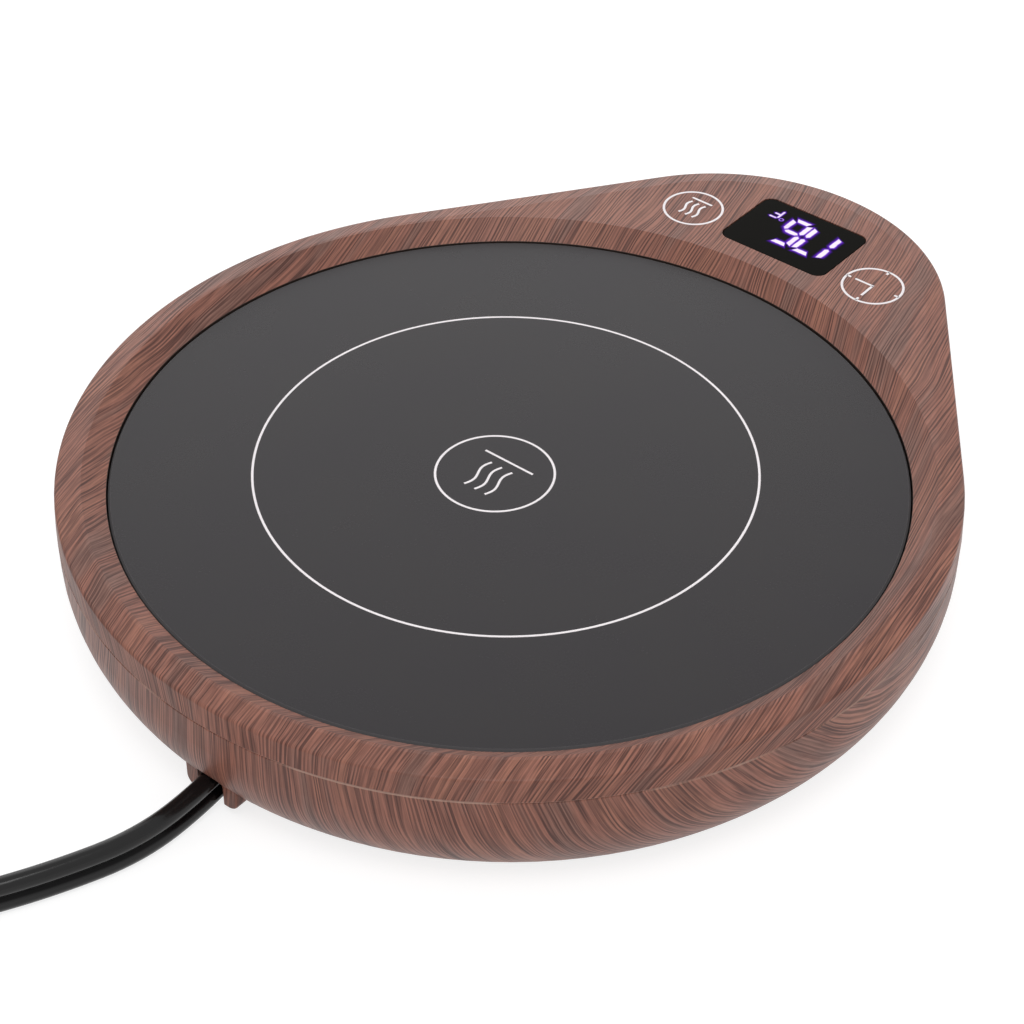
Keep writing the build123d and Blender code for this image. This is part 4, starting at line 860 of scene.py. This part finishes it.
# ---- cord, millimetres from the plate's axis ----
CORD_ROUTE = [
    (0, 38.0, 6.1), (0, 50.0, 6.1), (0, 64.5, 2.75), (0.2, 76.0, 2.75), (4.6, 87.0, 2.75), (9.7, 96.5, 2.75),
    (17.5, 108.5, 2.75), (29.0, 119, 2.75), (43.0, 126.5, 3.5), (56.0, 130, 3.5), (66.0, 130, 3.5),
]
COIL_CENTRE = (84.0, 96.0)
COIL_OUTER, COIL_INNER = 33.8, 26.3
COIL_LOW, COIL_HIGH = 3.5, 8.9
COIL_LAYER_TURNS = 2.5
COIL_STEPS = 24
PLUG_X, PLUG_Z = 118, 6.5
PLUG_LEAD = [(PLUG_X, 88.0, COIL_HIGH), (PLUG_X, 81.0, COIL_HIGH), (PLUG_X, 74.0, COIL_HIGH),
             (PLUG_X, 63.0, PLUG_Z), (PLUG_X, 56.0, PLUG_Z), (PLUG_X, 44.0, PLUG_Z)]
UV_METRE = 10.0


def coil_points():
    """The wound turns: in along the lower layer, up at the inside, and out along the upper one."""
    layer, climb = round(COIL_LAYER_TURNS * COIL_STEPS), round(0.25 * COIL_STEPS)
    # control points stand a little outside the line that they draw
    reach = 1 / cos(pi / COIL_STEPS)
    points = []
    for index in range(2 * layer + climb + 1):
        wound = (min(index, layer) - max(index - layer - climb, 0)) / layer
        climbed = min(max(index - layer, 0), climb) / climb
        radius = (COIL_OUTER - (COIL_OUTER - COIL_INNER) * wound) * reach
        turn = pi / 2 - 2 * pi * index / COIL_STEPS
        points.append((COIL_CENTRE[0] + radius * cos(turn), COIL_CENTRE[1] + radius * sin(turn),
                       COIL_LOW + (COIL_HIGH - COIL_LOW) * climbed))
    return points


def smooth_line(name, points):
    """Places along the NURBS line that has these control points."""
    curve = bpy.data.curves.new(name, "CURVE")
    curve.dimensions = "3D"
    spline = curve.splines.new("NURBS")
    spline.points.add(len(points) - 1)
    for control, point in zip(spline.points, points):
        control.co = (*at(*point), 1.0)
    spline.order_u, spline.use_endpoint_u, curve.resolution_u = 3, True, 8
    line = new_object(name, curve)
    read = evaluated_mesh(line)
    places = [vert.co.copy() for vert in read.vertices]
    bpy.data.objects.remove(line)
    bpy.data.meshes.remove(read)
    kept = places[:1]
    for place in places[1:]:
        if (place - kept[-1]).length > 1e-6:
            kept.append(place)
    return kept


def twin_section(width, thickness, web):
    """Outline of two round cores side by side with a web between them, as (up, aside) points."""
    core = thickness / 2
    open_angle = pi - asin(web / 2 / core)
    turns = [open_angle * (1 - k / 9) for k in range(19)]
    right = [(width / 2 - core + core * cos(turn), core * sin(turn)) for turn in turns]
    return right + [(-x, -y) for x, y in right]


def swept(name, line, section, material):
    """Tube of one section along a line, its first axis kept upright; UV 'run' goes round and along."""
    shape = bmesh.new()
    run = shape.loops.layers.uv.new("run")
    up = Vector((0, 0, 1))
    rings, travelled, length = [], [], 0.0
    for before, place, after in zip(line[:1] + line, line, line[1:] + line[-1:]):
        way = (after - before).normalized()
        upright = (up - way * up.dot(way)).normalized()
        aside = way.cross(upright)
        rings.append([shape.verts.new(place + upright * high + aside * wide) for high, wide in section])
        length += (place - before).length
        travelled.append(length)
    skin_over(shape, rings)
    count = len(section)
    for number, face in enumerate(list(shape.faces)[:-2]):
        index, k = divmod(number, count)
        for loop, (right, far) in zip(face.loops, ((0, 0), (1, 0), (1, 1), (0, 1))):
            loop[run].uv = ((k + right) / count, travelled[index + far] * UV_METRE)
    return keep_mesh(name, shape, material)


# stations of the grip with its finger steps: place along Y, width and height
PLUG_GRIP = [
    (44.2, 9.6, 8.6), (43.9, 15.0, 10.2), (43.1, 16.0, 11.0), (37.0, 16.9, 11.5), (36.6, 16.3, 10.9),
    (35.4, 16.5, 11.1), (35.0, 17.3, 11.7), (33.0, 17.6, 11.9), (32.6, 17.0, 11.3), (31.4, 17.2, 11.5),
    (31.0, 18.0, 12.1), (23.0, 19.8, 12.9), (22.3, 19.6, 12.7), (22.0, 18.9, 12.0)]
# one rib of the tail: part of the pitch along it, and how far it stands out
PLUG_RIB, RIB_PITCH = ((0.0, -0.9), (0.12, 0.0), (0.56, 0.1), (0.68, -0.9)), 2.4


def plug_mesh():
    """Moulded plug: a grip with finger steps, and a ribbed tail that grows towards it."""
    stations = []
    for rib in range(5):
        stations += [(56.0 - RIB_PITCH * (rib + along), 8.5 + 0.42 * rib + out, 7.5 + 0.3 * rib + out)
                     for along, out in PLUG_RIB]
    shape = bmesh.new()
    rings = []
    for y, wide, tall in stations + PLUG_GRIP:
        corner = min(3.0, wide * 0.36, tall * 0.36)
        ring = []
        for quarter in range(4):
            x = PLUG_X + (wide / 2 - corner) * (1 if quarter in (0, 3) else -1)
            z = PLUG_Z + (tall / 2 - corner) * (1 if quarter in (0, 1) else -1)
            for turn in [pi / 2 * (quarter + k / 5) for k in range(6)]:
                ring.append(shape.verts.new(at(x + corner * cos(turn), y, z + corner * sin(turn))))
        rings.append(ring)
    skin_over(shape, rings)
    return shape


class MUG_OT_cord(bpy.types.Operator):
    """Lay the flat cord from the case to its coil and plug"""
    bl_idname = "mug_warmer.cord"
    bl_label = "Cord"

    def execute(self, context):
        settings = context.scene.mug_cord
        line = smooth_line("cord line", CORD_ROUTE + coil_points() + PLUG_LEAD)
        section = twin_section(settings.width, settings.thickness, settings.web)
        cord = swept("flat_cord", line, section, jacket_finish("cord jacket"))
        smooth_by_angle(cord, 50)
        ride(cord, "cord_pvc", "power_cord", "cord_coil", "plug_lead")
        plug = keep_mesh("moulded_plug", plug_mesh(),
                         moulded_finish("plug moulding", settings.jacket[:3], 0.42, 1600, 0.25, 0.02))
        smooth_by_angle(plug, 38)
        ride(plug, "plug_pvc", "plug_body")
        dress("blade_plate", metal_finish("blade plating", (0.72, 0.69, 0.62), 0.26, 5000, 0.12, pi / 2),
              "plug_blades")
        dress("tie_strap", strap_finish("woven tie"), "cord_tie")
        return {"FINISHED"}


# ---- screws and feet ----
# outline of a pan head from its middle, as parts of its radius and its height
SCREW_HEAD = ((0, 0), (0.55, 0.06), (0.86, 0.24), (1, 0.55), (1, 1))


def screw_pattern(name, shank, head, rise, length):
    """Pan-head screw with a cross recess; its head ends at z = 0 and its shank points up."""
    root, turns = shank * 0.82, max(3, int(length / (0.9 * MM)))
    step = (length - shank) / turns
    profile = [(head * wide, rise * high) for wide, high in SCREW_HEAD] + [(root, rise)]
    for turn in range(turns):
        profile += [(root, rise + step * (turn + 0.2)), (shank, rise + step * (turn + 0.55)),
                    (root, rise + step * (turn + 0.9))]
    profile += [(shank * 0.3, rise + length - 0.05 * MM), (0, rise + length)]
    body = keep_mesh(name, lathe(profile, 28))
    cutter = bmesh.new()
    for turn in (0, pi / 2):
        spin = Matrix.Rotation(turn, 4, "Z")
        for vert in bmesh.ops.create_cube(cutter, size=1.0)["verts"]:
            x, y, z = vert.co
            taper = 0.55 if z > 0 else 1.0
            vert.co = spin @ Vector((x * head * 1.25 * taper, y * head * 0.30, z * rise * 1.2))
    tool = keep_mesh(name + " cutter", cutter)
    cut = body.modifiers.new("recess", "BOOLEAN")
    cut.operation, cut.solver, cut.object, cut.use_self = "DIFFERENCE", "EXACT", tool, True
    plain = evaluated_mesh(body)
    body.modifiers.remove(cut)
    body.data = plain
    bpy.data.objects.remove(tool)
    smooth_by_angle(body, 30)
    return body


def set_pieces(name, pattern, boxes, from_above, material, slot_name, replaced, seed):
    """Sets a pattern piece at the foot of every box, or at its top, through the shared tree."""
    points = bpy.data.meshes.new(name + " points")
    points.from_pydata([((low.x + high.x) / 2, (low.y + high.y) / 2, (high if from_above else low).z)
                        for low, high in boxes], [], [])
    values = {"Pattern": pattern, "Turn Seed": seed, "Material": material}
    ride(run_tree(name, set_of_pieces(), values, points), slot_name, replaced)
    bpy.data.objects.remove(pattern)


class MUG_OT_screws(bpy.types.Operator):
    """Set cross-recess screws in place of the plain ones"""
    bl_idname = "mug_warmer.screws"
    bl_label = "Screws"

    def execute(self, context):
        steel = metal_finish("screw plating", (0.56, 0.56, 0.58), 0.32, 7000, 0.2)
        # radius of the shank and of the head, and the head's height, millimetres
        for kind, shank, head, rise, from_above, seed in (
                ("case", 1.4, 2.7, 2.0, False, 3), ("clamp", 1.25, 2.5, 1.5, False, 5),
                ("display_board", 1.0, 2.1, 1.4, False, 7), ("power_board", 1.0, 2.1, 1.4, True, 11),
                ("cord_clamp", 1.0, 2.1, 1.4, True, 13)):
            boxes = solids_of(kind + "_screws")
            length = boxes[0][1].z - boxes[0][0].z - rise * MM
            pattern = screw_pattern(kind + " screw", shank * MM, head * MM, rise * MM, length)
            if from_above:
                pattern.data.transform(Matrix.Rotation(pi, 4, "X"))
            set_pieces(kind + "_cross_screws", pattern, boxes, from_above, steel, "screw_steel",
                       kind + "_screws", seed)
        return {"FINISHED"}


class MUG_OT_feet(bpy.types.Operator):
    """Set ridged rubber feet in place of the plain ones"""
    bl_idname = "mug_warmer.feet"
    bl_label = "Feet"

    def execute(self, context):
        boxes = solids_of("rubber_feet")
        low, high = boxes[0]
        radius, height = (high.x - low.x) / 2, high.z - low.z
        ridge, profile = radius / 5.2, [(0, 0.0)]
        for k in range(1, 4):
            profile += [((k + along) * ridge, deep * MM)
                        for along, deep in ((-0.2, 0.0), (0.0, 0.14), (0.2, 0.14), (0.4, 0.0))]
        profile += [(radius - inset * MM, rise * MM)
                    for inset, rise in ((0.40, 0.0), (0.15, 0.08), (0.03, 0.25), (0.0, 0.45))]
        pattern = keep_mesh("foot pattern", lathe(profile + [(radius, height), (0, height)], 48))
        smooth_by_angle(pattern, 30)
        rubber = moulded_finish("foot rubber", (0.035, 0.035, 0.036), 0.75, 3500, 0.3, 0.03, 0.3)
        set_pieces("ridged_feet", pattern, boxes, False, rubber, "foot_rubber", "rubber_feet", 1)
        return {"FINISHED"}


# ---- inside ----
class MUG_OT_heater(bpy.types.Operator):
    """Finish the heater stack under the plate"""
    bl_idname = "mug_warmer.heater"
    bl_label = "Heater"

    def execute(self, context):
        for slot_name, finish, make, *values, name in (
                ("seal_silicone", "silicone seal", moulded_finish, (0.03, 0.03, 0.03), 0.7, 2500, 0.3, 0.02,
                 0.35, "plate_seal"),
                ("spreader_aluminium", "rolled aluminium", metal_finish, (0.80, 0.80, 0.82), 0.34, 5200, 0.15,
                 "heat_spreader"),
                ("polyimide_film", "heater film", film_heater_finish, "heating_film"),
                ("ceramic_wool", "ceramic wool", fibre_finish, (0.86, 0.85, 0.81), 0.9, 0.5, 0.15,
                 "insulation_pad"),
                ("pressed_steel", "zinc plate", metal_finish, (0.60, 0.61, 0.62), 0.36, 4200, 0.25, 0.4,
                 "heater_clamp"),
                ("sensor_epoxy", "sensor epoxy", moulded_finish, (0.02, 0.02, 0.022), 0.35, 1200, 0.3, 0.02,
                 "thermistor"),
                ("fuse_case", "tinned case", metal_finish, (0.72, 0.71, 0.68), 0.28, 6200, 0.2, pi / 2,
                 "thermal_fuse"),
                ("gasket_foam", "gasket foam", fibre_finish, (0.03, 0.03, 0.03), 0.92, 0.25, 0.1,
                 "light_gasket")):
            dress(slot_name, make(finish, *values), name)
        return {"FINISHED"}


class MUG_OT_boards(bpy.types.Operator):
    """Finish the two circuit boards and what is on them"""
    bl_idname = "mug_warmer.boards"
    bl_label = "Boards"

    def execute(self, context):
        dress("circuit_board", board_finish("solder mask"), "display_board", "power_board")
        dress("touch_foam", fibre_finish("touch foam", (0.08, 0.08, 0.085), 0.9, 0.3, 0.12),
              "touch_pad_heat", "touch_pad_timer")
        dress("ribbon_grey", ribbon_finish("grey ribbon"), "link_ribbon")
        for slot_name, finish, colour, rough, grain, variation, relief, *nodes in (
                ("display_housing", "display housing", (0.05, 0.05, 0.052), 0.5, 2600, 0.2, 0.01,
                 "led_display"),
                ("chip_epoxy", "chip epoxy", (0.022, 0.022, 0.023), 0.55, 6000, 0.25, 0.02,
                 "controller_chip", "triac"),
                ("capacitor_box", "capacitor box", (0.48, 0.30, 0.04), 0.45, 3000, 0.15, 0.012,
                 "film_capacitor"),
                ("capacitor_sleeve", "capacitor sleeve", (0.015, 0.025, 0.09), 0.3, 1500, 0.2, 0.01,
                 "smoothing_capacitor"),
                ("varistor_coat", "dipped coat", (0.02, 0.07, 0.30), 0.22, 700, 0.2, 0.04, "varistor"),
                ("fuse_box", "fuse moulding", (0.03, 0.03, 0.03), 0.5, 2800, 0.2, 0.015, "mains_fuse"),
                ("lead_black", "black insulation", (0.02, 0.02, 0.02), 0.42, 1800, 0.25, 0.01, "mains_leads"),
                ("lead_red", "red insulation", (0.40, 0.02, 0.015), 0.5, 1800, 0.2, 0.01, "heater_leads"),
                ("lead_white", "white insulation", (0.78, 0.78, 0.75), 0.45, 1800, 0.08, 0.01,
                 "sensor_leads", "fuse_leads"),
                ("clamp_nylon", "clamp nylon", (0.035, 0.035, 0.036), 0.5, 2200, 0.25, 0.02, "cord_clamp")):
            dress(slot_name, moulded_finish(finish, colour, rough, grain, variation, relief), *nodes)
        return {"FINISHED"}


# ---- stage ----
CAMERA_PLACE = (-0.1805, 0.23305, 0.25014)
CAMERA_AZIMUTH, CAMERA_ELEVATION, CAMERA_ROLL = 219.07, 39.96, 0.315
TABLE_HALF, TABLE_DROP = 4.0, 0.02 * MM


def seen_directly(tree):
    """1 for what the camera sees, straight or in a gloss or through a clear part."""
    rays = node("ShaderNodeLightPath", tree=tree)
    first = sums("MAXIMUM", rays["Is Camera Ray"], rays["Is Glossy Ray"])
    return sums("MAXIMUM", first, rays["Is Transmission Ray"])


def area_lamp(name, place, size, power):
    """Soft lamp that looks at the part."""
    lamp = bpy.data.lights.new(name, "AREA")
    lamp.shape, lamp.size, lamp.size_y, lamp.energy = "RECTANGLE", size[0], size[1], power
    stand = new_object(name, lamp)
    stand.location = place
    stand.rotation_euler = (-Vector(place)).to_track_quat("-Z", "Y").to_euler()


class MUG_OT_stage(bpy.types.Operator):
    """Set up the table, the soft light and the camera"""
    bl_idname = "mug_warmer.stage"
    bl_label = "Stage"

    def execute(self, context):
        scene = context.scene
        settings = scene.mug_stage
        scene.view_settings.view_transform = "Standard"
        table = bmesh.new()
        bmesh.ops.create_grid(table, x_segments=1, y_segments=1, size=TABLE_HALF)
        for vert in table.verts:
            vert.co.z = -TABLE_DROP
        surface, coordinates = new_finish("pale table")
        seen = seen_directly(coordinates.tree)
        shade = ramp(noise(coordinates, 3.0, 2.0), 0.0, 1.0, 0.98, 1.02)
        colour = blend_colour(seen, settings.floor[:], (0.38, 0.38, 0.38, 1))
        coat(surface, tinted(colour, shade), 0.9, 0.1, others={
            "Emission Color": tinted((0.77, 0.77, 0.77, 1), seen), "Emission Strength": 1.0})
        floor = keep_mesh("table", table, surface)

        scene.world = bpy.data.worlds.new("studio")
        scene.world.use_nodes = True
        sky = scene.world.node_tree
        light = sky.nodes["Background"].inputs
        light["Color"].default_value = (1, 1, 1, 1)
        feed(light["Strength"], ramp(seen_directly(sky), 0.0, 1.0, settings.ambient, 1.0))

        area_lamp("key", (-0.25, 0.34, 1.15), (0.4, 0.4), settings.key_power)
        area_lamp("back", (0.85, -0.79, 0.85), (1.0, 0.8), settings.back_power)
        area_lamp("low", (0.84, -0.88, 0.36), (1.2, 0.5), settings.low_power)

        camera = bpy.data.cameras.new("view")
        camera.lens, camera.sensor_width, camera.clip_start = settings.lens, 36.0, 0.01
        eye = new_object("view", camera)
        eye.matrix_world = Matrix.Translation(CAMERA_PLACE)
        for axis, degrees in ("Z", CAMERA_AZIMUTH), ("X", 90 - CAMERA_ELEVATION), ("Z", CAMERA_ROLL):
            eye.matrix_world = eye.matrix_world @ Matrix.Rotation(radians(degrees), 4, axis)
        scene.camera = eye
        return {"FINISHED"}


# ---- panel and registration ----
class MUG_PT_dressing(bpy.types.Panel):
    """Everything that dresses the mug warmer"""
    bl_label = "Mug Warmer"
    bl_idname = "MUG_PT_dressing"
    bl_space_type = "VIEW_3D"
    bl_region_type = "UI"
    bl_category = "Mug Warmer"

    def draw(self, context):
        for operator in OPERATORS:
            self.layout.operator(operator.bl_idname)
        for name in SETTINGS:
            group = getattr(context.scene, name)
            box = self.layout.box()
            for key in group.bl_rna.properties.keys():
                if key not in ("rna_type", "name"):
                    box.prop(group, key)


OPERATORS = (MUG_OT_stage, MUG_OT_cord, MUG_OT_housing, MUG_OT_plate, MUG_OT_touch_marks, MUG_OT_display,
             MUG_OT_screws, MUG_OT_feet, MUG_OT_heater, MUG_OT_boards)
SETTINGS = {"mug_housing": HousingSettings, "mug_plate": PlateSettings, "mug_display": DisplaySettings,
            "mug_cord": CordSettings, "mug_stage": StageSettings}
CLASSES = (*SETTINGS.values(), *OPERATORS, MUG_PT_dressing)


def register():
    for kind in CLASSES:
        bpy.utils.register_class(kind)
    for name, group in SETTINGS.items():
        setattr(bpy.types.Scene, name, bpy.props.PointerProperty(type=group))


def unregister():
    for name in SETTINGS:
        delattr(bpy.types.Scene, name)
    for kind in reversed(CLASSES):
        bpy.utils.unregister_class(kind)


def main():
    register()
    bpy.ops.mug_warmer.stage()
    bpy.ops.mug_warmer.cord()
    bpy.ops.mug_warmer.housing()
    bpy.ops.mug_warmer.plate()
    bpy.ops.mug_warmer.touch_marks()
    bpy.ops.mug_warmer.display()
    bpy.ops.mug_warmer.screws()
    bpy.ops.mug_warmer.feet()
    bpy.ops.mug_warmer.heater()
    bpy.ops.mug_warmer.boards()
    bpy.context.view_layer.update()


if __name__ == "__main__":
    main()
